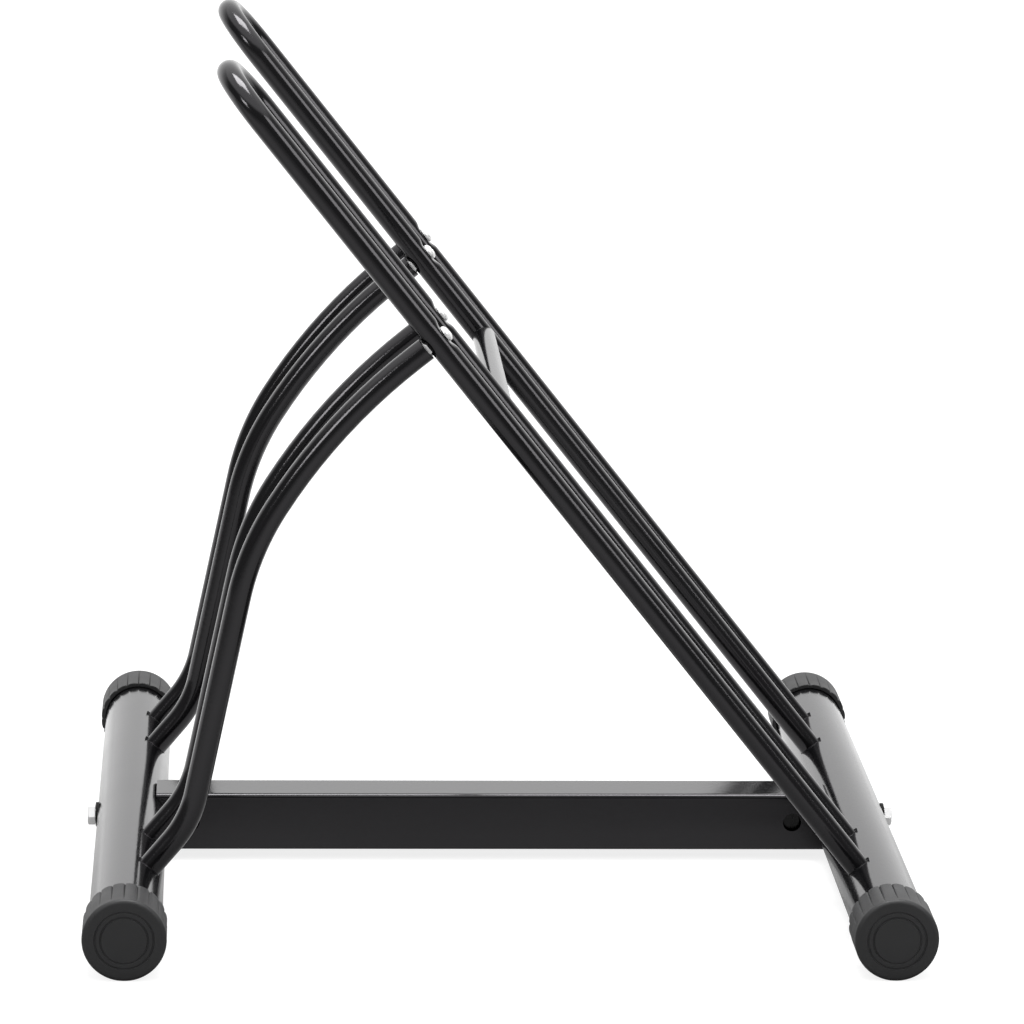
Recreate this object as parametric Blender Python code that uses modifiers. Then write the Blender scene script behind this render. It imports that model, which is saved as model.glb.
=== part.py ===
"""Floor rack for two bicycles, in welded and bolted steel tube.

Two wheel loops lean back from the right base tube. Four bent support tubes rise
from the left base tube and are bolted to the backs of the loop legs. A square beam
joins the base tubes, and a lobed plastic cap closes each of their ends.

Lengths are in metres. X runs from the support side to the loop side, Y along the
base tubes and Z up, from the floor under the middle of the rack.
"""

import math

import bmesh
import bpy
from mathutils import Matrix, Vector

# Clearance left wherever two pieces touch, and how far cutting shapes overrun
FIT_GAP = 0.0003
CUT_OVERRUN = 0.006

# Base tubes
BASE_DIAMETER = 0.048
BASE_WALL = 0.002
BASE_LENGTH = 0.600
BASE_SPACING = 0.500

# End caps
CAP_SKIRT_WALL = 0.0032
CAP_END_WALL = 0.0047
CAP_LENGTH = 0.040
CAP_EDGE_RADIUS = 0.003
CAP_LOBES = 20
CAP_GROOVE_DEPTH = 0.0013
CAP_GROOVE_HALF_WIDTH = math.radians(2.5)
CAP_RING_MARGIN = 0.0085
CAP_RING_WIDTH = 0.0036
CAP_RING_HEIGHT = 0.0004
CAP_FOOT_FLAT = 0.0004

# Cross beam, with the nuts and bolts that hold it
BEAM_SIZE = 0.040
BEAM_WALL = 0.0015
BEAM_CORNER_RADIUS = 0.003
BEAM_END_TO_BASE_AXIS = 0.017
BEAM_BOLT_DIAMETER = 0.008
BEAM_BOLT_HEAD_FLATS = 0.013
BEAM_BOLT_HEAD_HEIGHT = 0.0053
BEAM_BOLT_HOLE_PLAY = 0.0005
BEAM_BOLT_TIP_PAST_NUT = 0.0044
BARREL_NUT_DIAMETER = 0.012
BARREL_NUT_RECESS = 0.005
BARREL_NUT_TO_BASE_AXIS = 0.0406
BASE_WASHER_DIAMETER = 0.017
BASE_WASHER_THICKNESS = 0.001

# Wheel loops and the strut between them
LOOP_DIAMETER = 0.016
LOOP_WALL = 0.0015
LOOP_SLOT = 0.056
LOOP_REACH = 0.695
LOOP_LEAN = math.radians(38.7)
LOOP_PITCH = 0.314
STRUT_DIAMETER = 0.016
STRUT_WALL = 0.0015
STRUT_REACH = 0.406

# Support tubes
SUPPORT_DIAMETER = 0.016
SUPPORT_WALL = 0.0015
SUPPORT_ROOT_ANGLE = math.radians(50.0)
SUPPORT_ROOT_STRAIGHT = 0.022
SUPPORT_ROOT_RADIUS = 0.075
SUPPORT_SHOULDER_RADIUS = 0.185
SUPPORT_SHOULDER_ANGLE = math.radians(58.0)
SUPPORT_TOP_RADIUS = 0.400
SUPPORT_END_STRAIGHT = 0.010

# Bolted joints between the loop legs and the support tubes
JOINT_REACH = 0.478
JOINT_BOLT_DIAMETER = 0.006
JOINT_BOLT_HEAD_DIAMETER = 0.011
JOINT_BOLT_HEAD_HEIGHT = 0.0038
JOINT_BOLT_RIM_HEIGHT = 0.0010
JOINT_BOLT_TIP_CHAMFER = 0.0007
JOINT_BOLT_ENGAGEMENT = 0.010
JOINT_SEAT_DEPTH = 0.0018
JOINT_SEAT_MARGIN = 0.0011
JOINT_WASHER_DIAMETER = 0.0118
JOINT_WASHER_THICKNESS = 0.0005
SUPPORT_END_TO_LEG = 0.0008
INSERT_NUT_GRIP = 0.014

# Fineness of the faceted forms
BASE_SIDES = 36
TUBE_SIDES = 16
BORE_SIDES = 12
HOLE_SIDES = 16
SADDLE_SIDES = 24
WASHER_SIDES = 24
BOLT_STEPS = 16
DOME_STEPS = 3
EDGE_STEPS = 2
BEND_CHORD_ERROR = 0.0004
SMOOTH_EDGE_LIMIT = math.radians(30)
RISER_HALVINGS = 40

# Sizes that follow from those above
BASE_RADIUS = BASE_DIAMETER / 2
BASE_SADDLE_RADIUS = BASE_RADIUS + FIT_GAP
CAP_BORE_RADIUS = BASE_RADIUS + FIT_GAP
CAP_RADIUS = CAP_BORE_RADIUS + CAP_SKIRT_WALL
BASE_AXIS_HEIGHT = CAP_RADIUS - CAP_FOOT_FLAT
BEAM_BOLT_RADIUS = BEAM_BOLT_DIAMETER / 2
BARREL_NUT_RADIUS = BARREL_NUT_DIAMETER / 2
LOOP_RADIUS = LOOP_DIAMETER / 2
LOOP_SADDLE_RADIUS = LOOP_RADIUS + FIT_GAP
LOOP_HALF_SPACING = (LOOP_SLOT + LOOP_DIAMETER) / 2
LEG_DIRECTION = Vector((-math.sin(LOOP_LEAN), 0, math.cos(LOOP_LEAN)))
LEG_FRONT = Vector((math.cos(LOOP_LEAN), 0, math.sin(LOOP_LEAN)))
JOINT_BOLT_RADIUS = JOINT_BOLT_DIAMETER / 2
JOINT_SEAT_RADIUS = JOINT_BOLT_HEAD_DIAMETER / 2 + JOINT_SEAT_MARGIN
JOINT_SEAT_HEIGHT = LOOP_RADIUS - JOINT_SEAT_DEPTH
WASHER_BACK_RADIUS = LOOP_SADDLE_RADIUS + JOINT_WASHER_THICKNESS
INSERT_SADDLE_RADIUS = WASHER_BACK_RADIUS + FIT_GAP
SUPPORT_END_TO_LEG_AXIS = LOOP_RADIUS + SUPPORT_END_TO_LEG
SUPPORT_BORE_RADIUS = SUPPORT_DIAMETER / 2 - SUPPORT_WALL

X_AXIS = Vector((1, 0, 0))
Y_AXIS = Vector((0, 1, 0))
Z_AXIS = Vector((0, 0, 1))


# Scene and materials

def clear_scene():
    for old in list(bpy.data.objects):
        bpy.data.objects.remove(old, do_unlink=True)


def new_collection(name):
    collection = bpy.data.collections.new(name)
    bpy.context.scene.collection.children.link(collection)
    return collection


def surface(name, colour, metallic, roughness):
    material = bpy.data.materials.new(name)
    material.use_nodes = True
    shader = material.node_tree.nodes["Principled BSDF"]
    shader.inputs["Base Color"].default_value = (*colour, 1)
    shader.inputs["Metallic"].default_value = metallic
    shader.inputs["Roughness"].default_value = roughness
    return material


# Shapes

def helper(name, mesh):
    """An object that only shapes others: it is drawn as a wire and never rendered."""
    body = bpy.data.objects.new(name, mesh)
    body.hide_render = True
    body.display_type = "WIRE"
    cutters.objects.link(body)
    return body


def cone(name, start, end, start_radius, end_radius, sides, turn=0.0):
    """A closed round or many-sided body between two points, turned about its axis."""
    axis = Vector(end) - Vector(start)
    middle = (Vector(start) + Vector(end)) / 2
    aim = axis.to_track_quat("Z", "Y").to_matrix().to_4x4()
    bm = bmesh.new()
    bmesh.ops.create_cone(
        bm,
        cap_ends=True,
        segments=sides,
        radius1=start_radius,
        radius2=end_radius,
        depth=axis.length,
        matrix=Matrix.Translation(middle) @ aim @ Matrix.Rotation(turn, 4, "Z"),
    )
    mesh = bpy.data.meshes.new(name)
    bm.to_mesh(mesh)
    bm.free()
    return helper(name, mesh)


def rod(name, start, end, radius, sides, turn=0.0):
    return cone(name, start, end, radius, radius, sides, turn)


def bent_rod(name, points, radius, sides):
    """A closed round bar along a bent line, as a welded mesh."""
    curve = bpy.data.curves.new(name, "CURVE")
    curve.dimensions = "3D"
    curve.bevel_depth = radius
    curve.bevel_resolution = (sides - 4) // 2
    curve.use_fill_caps = True
    spline = curve.splines.new("POLY")
    spline.points.add(len(points) - 1)
    for spline_point, point in zip(spline.points, points):
        spline_point.co = (*point, 1)
    guide = bpy.data.objects.new(name, curve)
    cutters.objects.link(guide)
    mesh = evaluated_mesh(guide)
    bm = bmesh.new()
    bm.from_mesh(mesh)
    bmesh.ops.remove_doubles(bm, verts=bm.verts, dist=FIT_GAP / 10)
    bmesh.ops.recalc_face_normals(bm, faces=bm.faces)
    bm.to_mesh(mesh)
    bm.free()
    body = helper(name, mesh)
    body.matrix_world = guide.matrix_world
    bpy.data.objects.remove(guide)
    return body


def turned(name, profile, steps):
    """A body turned about Z from (radius, height) pairs, listed from top to bottom."""
    mesh = bpy.data.meshes.new(name)
    corners = [(radius, 0, height) for radius, height in profile]
    mesh.from_pydata(corners, [(i, i + 1) for i in range(len(corners) - 1)], [])
    body = helper(name, mesh)
    screw = body.modifiers.new("turn", "SCREW")
    screw.axis = "Z"
    screw.angle = math.tau
    screw.steps = steps
    screw.render_steps = steps
    screw.use_merge_vertices = True
    screw.merge_threshold = FIT_GAP / 10
    body.data = evaluated_mesh(body)
    body.modifiers.clear()
    return body


def box(name, size, centre):
    bm = bmesh.new()
    place = Matrix.Translation(centre) @ Matrix.Diagonal((*size, 1))
    bmesh.ops.create_cube(bm, size=1, matrix=place)
    mesh = bpy.data.meshes.new(name)
    bm.to_mesh(mesh)
    bm.free()
    return helper(name, mesh)


def evaluated_mesh(body):
    graph = bpy.context.evaluated_depsgraph_get()
    return bpy.data.meshes.new_from_object(body.evaluated_get(graph))


def combine(body, operation, *tools):
    """Apply one Boolean for each tool and keep the outcome as the body's mesh."""
    for tool in tools:
        modifier = body.modifiers.new(tool.name, "BOOLEAN")
        modifier.operation = operation
        modifier.object = tool
    body.data = evaluated_mesh(body)
    body.modifiers.clear()


def cut(body, *tools):
    combine(body, "DIFFERENCE", *tools)


# Bends

def heading(angle):
    return Vector((math.cos(angle), 0, math.sin(angle)))


def left_of(angle):
    return Vector((-math.sin(angle), 0, math.cos(angle)))


def bend(centre, radius, start, end, across=X_AXIS, along=Z_AXIS):
    """Points on an arc, close enough together to follow it within the chord error."""
    largest_step = 2 * math.acos(1 - BEND_CHORD_ERROR / radius)
    steps = max(1, math.ceil(abs(end - start) / largest_step))
    angles = [start + (end - start) * i / steps for i in range(steps + 1)]
    return [centre + radius * (math.cos(a) * across + math.sin(a) * along) for a in angles]


def bend_shift(radius, start, end):
    """How far an arc moves a path that turns from one heading to another."""
    outward = 1 if end > start else -1
    return outward * radius * (left_of(start) - left_of(end))


def turn_path(path, radius, start, end):
    """Lengthen a path by an arc that turns it from one heading to another."""
    outward = 1 if end > start else -1
    quarter = outward * math.pi / 2
    centre = path[-1] + outward * radius * left_of(start)
    path += bend(centre, radius, start - quarter, end - quarter)[1:]


def solve_riser(span):
    """Angle and length of a support's straight riser.

    The three bends are given, so the riser is the one straight that still carries
    the path to the leg. Its angle is found by halving the range in which it must lie.
    """

    def rest(riser):
        return (
            span
            - bend_shift(SUPPORT_ROOT_RADIUS, SUPPORT_ROOT_ANGLE, riser)
            - bend_shift(SUPPORT_SHOULDER_RADIUS, riser, SUPPORT_SHOULDER_ANGLE)
            - bend_shift(SUPPORT_TOP_RADIUS, SUPPORT_SHOULDER_ANGLE, LOOP_LEAN)
        )

    low = SUPPORT_SHOULDER_ANGLE
    high = SUPPORT_SHOULDER_ANGLE + math.pi / 2
    for _ in range(RISER_HALVINGS):
        riser = (low + high) / 2
        if rest(riser).dot(left_of(riser)) > 0:
            low = riser
        else:
            high = riser
    return riser, rest(riser).dot(heading(riser))


def support_path():
    """Centre line of a support tube, from the left base tube's axis."""
    joint = X_AXIS * BASE_SPACING + LEG_DIRECTION * JOINT_REACH
    end = joint - LEG_FRONT * SUPPORT_END_TO_LEG_AXIS
    root_end = heading(SUPPORT_ROOT_ANGLE) * (BASE_RADIUS + SUPPORT_ROOT_STRAIGHT)
    riser, riser_length = solve_riser(end - SUPPORT_END_STRAIGHT * LEG_FRONT - root_end)
    path = [Vector((0, 0, 0)), root_end]
    turn_path(path, SUPPORT_ROOT_RADIUS, SUPPORT_ROOT_ANGLE, riser)
    path.append(path[-1] + riser_length * heading(riser))
    turn_path(path, SUPPORT_SHOULDER_RADIUS, riser, SUPPORT_SHOULDER_ANGLE)
    turn_path(path, SUPPORT_TOP_RADIUS, SUPPORT_SHOULDER_ANGLE, LOOP_LEAN)
    path.append(end)
    return path


# Pieces, each shaped in a frame of its own

def base_tube():
    """Round tube along Y, with a bolt hole through both walls at mid length."""
    half = Y_AXIS * BASE_LENGTH / 2
    past = half + Y_AXIS * CUT_OVERRUN
    tube = rod("base_tube_shape", -half, half, BASE_RADIUS, BASE_SIDES)
    bore = rod("base_bore", -past, past, BASE_RADIUS - BASE_WALL, BASE_SIDES)
    reach = X_AXIS * BASE_DIAMETER
    hole_radius = BEAM_BOLT_RADIUS + BEAM_BOLT_HOLE_PLAY
    hole = rod("base_bolt_hole", -reach, reach, hole_radius, HOLE_SIDES)
    cut(tube, bore, hole)
    return tube.data


def cap_section(bm, y, angles, radii):
    """One cross-section of the cap, run clockwise from the top as its face is seen."""
    return [
        bm.verts.new((radius * math.sin(angle), y, radius * math.cos(angle)))
        for angle, radius in zip(angles, radii)
    ]


def join_sections(bm, first, second):
    """Faces between two cross-sections, either of which may have a third point a lobe."""
    for lobe in range(CAP_LOBES):
        rows = []
        for section in (first, second):
            count = len(section) // CAP_LOBES
            start = lobe * count
            rows.append([section[(start + i) % len(section)] for i in range(count + 1)])
        a, b = rows
        bm.faces.new((a[0], a[1], b[1], b[0]))
        if len(a) > len(b):
            bm.faces.new((a[1], a[2], b[1]))
        elif len(a) < len(b):
            bm.faces.new((a[1], b[2], b[1]))
        elif len(a) == 4:
            bm.faces.new((a[1], a[2], b[2], b[1]))
        bm.faces.new((a[-2], a[-1], b[-1], b[-2]))


def end_cap():
    """Cap on a tube end at the origin, its face towards -Y.

    The skirt is a loft between a round front edge and a lobed rim: a groove between
    neighbouring lobes is deepest at the rim and fades out towards the face.
    """
    lobe_angle = math.tau / CAP_LOBES
    coarse, fine, rim_radii = [], [], []
    for lobe in range(CAP_LOBES):
        groove = lobe * lobe_angle
        coarse += [groove, groove + lobe_angle / 2]
        fine += [
            groove,
            groove + CAP_GROOVE_HALF_WIDTH,
            groove + lobe_angle - CAP_GROOVE_HALF_WIDTH,
        ]
        rim_radii += [CAP_RADIUS - CAP_GROOVE_DEPTH, CAP_RADIUS, CAP_RADIUS]

    def even(radius, angles):
        return [radius] * len(angles)

    floor = -FIT_GAP
    face = floor - CAP_END_WALL
    rim = face + CAP_LENGTH
    ring_outer = CAP_RADIUS - CAP_RING_MARGIN
    ring_inner = ring_outer - CAP_RING_WIDTH
    edge_centre = CAP_RADIUS - CAP_EDGE_RADIUS
    bm = bmesh.new()
    sections = [
        cap_section(bm, floor, coarse, even(CAP_BORE_RADIUS, coarse)),
        cap_section(bm, rim, coarse, even(CAP_BORE_RADIUS, coarse)),
        cap_section(bm, rim, fine, rim_radii),
        cap_section(bm, face + CAP_EDGE_RADIUS, fine, even(CAP_RADIUS, fine)),
    ]
    for step in range(1, EDGE_STEPS + 1):
        turn = math.pi / 2 * step / EDGE_STEPS
        radius = edge_centre + CAP_EDGE_RADIUS * math.cos(turn)
        y = face + CAP_EDGE_RADIUS * (1 - math.sin(turn))
        sections.append(cap_section(bm, y, coarse, even(radius, coarse)))
    for radius, rise in (
        (ring_outer + CAP_RING_HEIGHT, 0),
        (ring_outer, CAP_RING_HEIGHT),
        (ring_inner, CAP_RING_HEIGHT),
        (ring_inner - CAP_RING_HEIGHT, 0),
    ):
        sections.append(cap_section(bm, face + rise, coarse, even(radius, coarse)))
    for first, second in zip(sections, sections[1:]):
        join_sections(bm, first, second)
    bm.faces.new(sections[0])
    bm.faces.new(sections[-1])
    bmesh.ops.recalc_face_normals(bm, faces=bm.faces)
    mesh = bpy.data.meshes.new("end_cap_shape")
    bm.to_mesh(mesh)
    bm.free()
    cap = helper("end_cap_shape", mesh)
    middle = Vector((0, (face + rim) / 2, -BASE_AXIS_HEIGHT - CAP_RADIUS / 2))
    cut(cap, box("foot_flat", (CAP_RADIUS * 2, CAP_LENGTH * 2, CAP_RADIUS), middle))
    return cap.data


def cross_beam():
    """Square tube along X, its side walls coped to saddle the base tubes."""
    half_length = BASE_SPACING / 2 - BEAM_END_TO_BASE_AXIS
    bm = bmesh.new()
    bmesh.ops.create_cube(
        bm, size=1, matrix=Matrix.Diagonal((2 * half_length, BEAM_SIZE, BEAM_SIZE, 1))
    )
    ends = [face for face in bm.faces if abs(face.normal.x) > 0.5]
    bmesh.ops.delete(bm, geom=ends, context="FACES_ONLY")
    mesh = bpy.data.meshes.new("cross_beam_shape")
    bm.to_mesh(mesh)
    bm.free()
    beam = helper("cross_beam_shape", mesh)
    corners = beam.modifiers.new("corners", "BEVEL")
    corners.width = BEAM_CORNER_RADIUS
    corners.segments = EDGE_STEPS
    wall = beam.modifiers.new("wall", "SOLIDIFY")
    wall.thickness = BEAM_WALL
    wall.offset = -1
    wall.use_even_offset = True
    beam.data = evaluated_mesh(beam)
    beam.modifiers.clear()
    for side in (-1, 1):
        base_axis = X_AXIS * side * BASE_SPACING / 2
        nut_axis = base_axis - X_AXIS * side * BARREL_NUT_TO_BASE_AXIS
        reach = Y_AXIS * BEAM_SIZE
        cope = rod("beam_cope", base_axis - reach, base_axis + reach, BASE_SADDLE_RADIUS, BASE_SIDES)
        nut_hole = rod(
            "beam_nut_hole",
            nut_axis - reach,
            nut_axis + reach,
            BARREL_NUT_RADIUS + FIT_GAP,
            HOLE_SIDES,
        )
        cut(beam, cope, nut_hole)
    return beam.data


def beam_bolt():
    """Hex bolt through a base tube at the origin, its head towards +X."""
    washer_face = BASE_SADDLE_RADIUS + BASE_WASHER_THICKNESS
    under_head = washer_face + FIT_GAP
    top = under_head + BEAM_BOLT_HEAD_HEIGHT
    tip = -BARREL_NUT_TO_BASE_AXIS - BEAM_BOLT_TIP_PAST_NUT
    corner_radius = BEAM_BOLT_HEAD_FLATS / math.sqrt(3)
    head = rod("hex_head", X_AXIS * under_head, X_AXIS * top, corner_radius, 6)
    head.data.transform(Matrix.Rotation(math.pi / 6, 4, "X"))
    chamfer = cone(
        "hex_chamfer",
        X_AXIS * (top - BEAM_BOLT_HEAD_HEIGHT * 2),
        X_AXIS * top,
        corner_radius + BEAM_BOLT_HEAD_HEIGHT * 2,
        BEAM_BOLT_HEAD_FLATS / 2,
        SADDLE_SIDES,
    )
    combine(head, "INTERSECT", chamfer)
    shank_top = (under_head + top) / 2
    shank = rod("hex_shank", X_AXIS * tip, X_AXIS * shank_top, BEAM_BOLT_RADIUS, HOLE_SIDES)
    combine(head, "UNION", shank)
    return head.data


def base_washer():
    """Washer between the tube and the bolt head, hollow on the tube's side."""
    face = BASE_SADDLE_RADIUS + BASE_WASHER_THICKNESS
    radius = BASE_WASHER_DIAMETER / 2
    washer = rod("base_washer_shape", Vector(), X_AXIS * face, radius, WASHER_SIDES)
    reach = Y_AXIS * BASE_WASHER_DIAMETER
    saddle = rod("base_washer_saddle", -reach, reach, BASE_SADDLE_RADIUS, BASE_SIDES)
    hole_radius = BEAM_BOLT_RADIUS + FIT_GAP
    past = X_AXIS * (face + CUT_OVERRUN)
    hole = rod("base_washer_hole", Vector(), past, hole_radius, HOLE_SIDES)
    cut(washer, saddle, hole)
    return washer.data


def barrel_nut():
    """Round nut along Y with a cross hole for the beam bolt."""
    half = Y_AXIS * (BEAM_SIZE / 2 - BARREL_NUT_RECESS)
    nut = rod("barrel_nut_shape", -half, half, BARREL_NUT_RADIUS, HOLE_SIDES)
    reach = X_AXIS * BARREL_NUT_DIAMETER
    cut(nut, rod("barrel_nut_hole", -reach, reach, BEAM_BOLT_RADIUS + FIT_GAP, HOLE_SIDES))
    return nut.data


def loop_path(overrun):
    """Hairpin centre line in the leg frame, its feet on the base tube's axis."""
    side = Y_AXIS * LOOP_HALF_SPACING
    foot = Z_AXIS * -overrun
    arch_centre = Z_AXIS * (LOOP_REACH - LOOP_HALF_SPACING)
    arch = bend(arch_centre, LOOP_HALF_SPACING, math.pi, 0, across=Y_AXIS)
    return [foot - side, *arch, foot + side]


def wheel_loop():
    """Hairpin tube, coped on the base tube, with a pressed seat for each bolt head.

    Seats and holes are turned by half a facet, so that none of their edges meets
    an edge of the tube, wherever the joint is.
    """
    loop = bent_rod("wheel_loop_shape", loop_path(0), LOOP_RADIUS, TUBE_SIDES)
    bore_path = loop_path(LOOP_DIAMETER)
    bore = bent_rod("wheel_loop_bore", bore_path, LOOP_RADIUS - LOOP_WALL, BORE_SIDES)
    reach = LOOP_DIAMETER
    half_step = math.pi / HOLE_SIDES
    for side in (-1, 1):
        joint = Y_AXIS * side * LOOP_HALF_SPACING + Z_AXIS * JOINT_REACH
        for body, wall in ((loop, 0), (bore, LOOP_WALL)):
            floor = JOINT_SEAT_HEIGHT - wall
            radius = JOINT_SEAT_RADIUS + wall * math.tan(math.pi / 8)
            seat = cone(
                "joint_seat",
                joint + X_AXIS * floor,
                joint + X_AXIS * (floor + reach),
                radius,
                radius + reach,
                HOLE_SIDES,
                half_step,
            )
            cut(body, seat)
    cut(loop, bore)
    for side in (-1, 1):
        joint = Y_AXIS * side * LOOP_HALF_SPACING + Z_AXIS * JOINT_REACH
        bolt_hole = rod(
            "joint_hole",
            joint - X_AXIS * reach,
            joint + X_AXIS * reach,
            JOINT_BOLT_RADIUS + FIT_GAP,
            HOLE_SIDES,
            half_step,
        )
        cut(loop, bolt_hole)
    width = Y_AXIS * (LOOP_HALF_SPACING + LOOP_DIAMETER)
    cut(loop, rod("loop_cope", -width, width, BASE_SADDLE_RADIUS, BASE_SIDES))
    return loop.data


def loop_strut():
    """Tube along Y between the two inner legs, coped on both, in the leg frame."""
    inner_leg = LOOP_PITCH / 2 - LOOP_HALF_SPACING
    middle = Z_AXIS * STRUT_REACH
    end = Y_AXIS * inner_leg
    past = end + Y_AXIS * CUT_OVERRUN
    strut = rod("strut_shape", middle - end, middle + end, STRUT_DIAMETER / 2, TUBE_SIDES)
    bore_radius = STRUT_DIAMETER / 2 - STRUT_WALL
    bore = rod("strut_bore", middle - past, middle + past, bore_radius, BORE_SIDES)
    copes = [
        rod(
            "strut_cope",
            end * side + Z_AXIS * (STRUT_REACH - STRUT_DIAMETER),
            end * side + Z_AXIS * (STRUT_REACH + STRUT_DIAMETER),
            LOOP_SADDLE_RADIUS,
            SADDLE_SIDES,
        )
        for side in (-1, 1)
    ]
    cut(strut, bore, *copes)
    return strut.data


def support_tube():
    """Bent riser, coped on the left base tube and cut square at the leg."""
    path = support_path()
    tube = bent_rod("support_shape", path, SUPPORT_DIAMETER / 2, TUBE_SIDES)
    overrun = SUPPORT_DIAMETER
    bore_path = [
        path[0] - heading(SUPPORT_ROOT_ANGLE) * overrun,
        *path[1:-1],
        path[-1] + LEG_FRONT * overrun,
    ]
    bore = bent_rod("support_bore", bore_path, SUPPORT_BORE_RADIUS, BORE_SIDES)
    reach = Y_AXIS * SUPPORT_DIAMETER
    cope = rod("support_cope", -reach, reach, BASE_SADDLE_RADIUS, BASE_SIDES)
    cut(tube, bore, cope)
    return tube.data


def joint_bolt():
    """Pan head bolt along X at the leg's axis, its head towards +X."""
    under_head = JOINT_SEAT_HEIGHT + FIT_GAP
    head_radius = JOINT_BOLT_HEAD_DIAMETER / 2
    rim = under_head + JOINT_BOLT_RIM_HEIGHT
    dome = JOINT_BOLT_HEAD_HEIGHT - JOINT_BOLT_RIM_HEIGHT
    tip = -SUPPORT_END_TO_LEG_AXIS - JOINT_BOLT_ENGAGEMENT
    profile = []
    for step in range(DOME_STEPS + 1):
        turn = math.pi / 2 * step / DOME_STEPS
        profile.append((head_radius * math.sin(turn), rim + dome * math.cos(turn)))
    profile += [
        (head_radius, under_head),
        (JOINT_BOLT_RADIUS, under_head),
        (JOINT_BOLT_RADIUS, tip + JOINT_BOLT_TIP_CHAMFER),
        (JOINT_BOLT_RADIUS - JOINT_BOLT_TIP_CHAMFER, tip),
        (0, tip),
    ]
    bolt = turned("joint_bolt_shape", profile, BOLT_STEPS)
    bolt.data.transform(Matrix.Rotation(math.pi / 2, 4, "Y"))
    return bolt.data


def joint_washer():
    """Thin round washer bent round the back of the leg, on the bolt's axis."""
    radius = JOINT_WASHER_DIAMETER / 2
    past = -X_AXIS * (WASHER_BACK_RADIUS + CUT_OVERRUN)
    reach = Z_AXIS * JOINT_WASHER_DIAMETER
    washer = rod("joint_washer_shape", past, Vector(), radius, WASHER_SIDES)
    outside = rod("joint_washer_back", -reach, reach, WASHER_BACK_RADIUS, SADDLE_SIDES)
    combine(washer, "INTERSECT", outside)
    inside = rod("joint_washer_saddle", -reach, reach, LOOP_SADDLE_RADIUS, SADDLE_SIDES)
    hole_radius = JOINT_BOLT_RADIUS + FIT_GAP
    hole = rod("joint_washer_hole", Vector(), past, hole_radius, HOLE_SIDES)
    cut(washer, inside, hole)
    return washer.data


def insert_nut():
    """Hex insert in the support's end, hollowed to bear on the joint washer."""
    corner_radius = SUPPORT_BORE_RADIUS - FIT_GAP
    inner_end = X_AXIS * -(SUPPORT_END_TO_LEG_AXIS + INSERT_NUT_GRIP)
    nut = rod("insert_nut_shape", inner_end, Vector(), corner_radius, 6)
    reach = Z_AXIS * SUPPORT_DIAMETER
    saddle = rod("insert_nut_saddle", -reach, reach, INSERT_SADDLE_RADIUS, SADDLE_SIDES)
    past = inner_end - X_AXIS * CUT_OVERRUN
    hole = rod("insert_nut_hole", past, Vector(), JOINT_BOLT_RADIUS + FIT_GAP, HOLE_SIDES)
    cut(nut, saddle, hole)
    return nut.data


# Assembly

def place(name, mesh, material, location, rotation=(0, 0, 0)):
    """One piece of the rack, fixed to its root."""
    mesh.materials.clear()
    mesh.materials.append(material)
    mesh.shade_smooth()
    mesh.set_sharp_from_angle(angle=SMOOTH_EDGE_LIMIT)
    piece = bpy.data.objects.new(name, mesh)
    piece.location = location
    piece.rotation_euler = rotation
    piece.parent = root
    rack.objects.link(piece)
    return piece


clear_scene()
rack = new_collection("bicycle_rack")
cutters = new_collection("cutters")
root = bpy.data.objects.new("rack_root", None)
rack.objects.link(root)

powder_coat = surface("black_powder_coat", (0.018, 0.018, 0.020), 0.0, 0.22)
plastic = surface("black_plastic", (0.035, 0.034, 0.033), 0.0, 0.65)
zinc = surface("bright_zinc", (0.72, 0.72, 0.70), 1.0, 0.28)
rubber = surface("black_washer", (0.015, 0.015, 0.015), 0.0, 0.7)

left_axis = Vector((-BASE_SPACING / 2, 0, BASE_AXIS_HEIGHT))
right_axis = Vector((BASE_SPACING / 2, 0, BASE_AXIS_HEIGHT))
half_turn = (0, 0, math.pi)
leg_tilt = (0, -LOOP_LEAN, 0)

base_mesh = base_tube()
cap_mesh = end_cap()
bolt_mesh = beam_bolt()
washer_mesh = base_washer()
barrel_mesh = barrel_nut()
for side, axis, facing in (("left", left_axis, half_turn), ("right", right_axis, (0, 0, 0))):
    outward = 1 if side == "right" else -1
    tube_end = Y_AXIS * BASE_LENGTH / 2
    nut_axis = axis - X_AXIS * outward * BARREL_NUT_TO_BASE_AXIS
    place(f"base_tube_{side}", base_mesh, powder_coat, axis, facing)
    place(f"end_cap_{side}_front", cap_mesh, plastic, axis - tube_end)
    place(f"end_cap_{side}_back", cap_mesh, plastic, axis + tube_end, half_turn)
    place(f"beam_bolt_{side}", bolt_mesh, zinc, axis, facing)
    place(f"bolt_saddle_washer_{side}", washer_mesh, rubber, axis, facing)
    place(f"barrel_nut_{side}", barrel_mesh, zinc, nut_axis)
place("cross_beam", cross_beam(), powder_coat, Z_AXIS * BASE_AXIS_HEIGHT)

loop_mesh = wheel_loop()
for name, outward in (("front", -1), ("back", 1)):
    pair_centre = right_axis + Y_AXIS * outward * LOOP_PITCH / 2
    place(f"wheel_loop_{name}", loop_mesh, powder_coat, pair_centre, leg_tilt)
place("loop_strut", loop_strut(), powder_coat, right_axis, leg_tilt)

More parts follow.
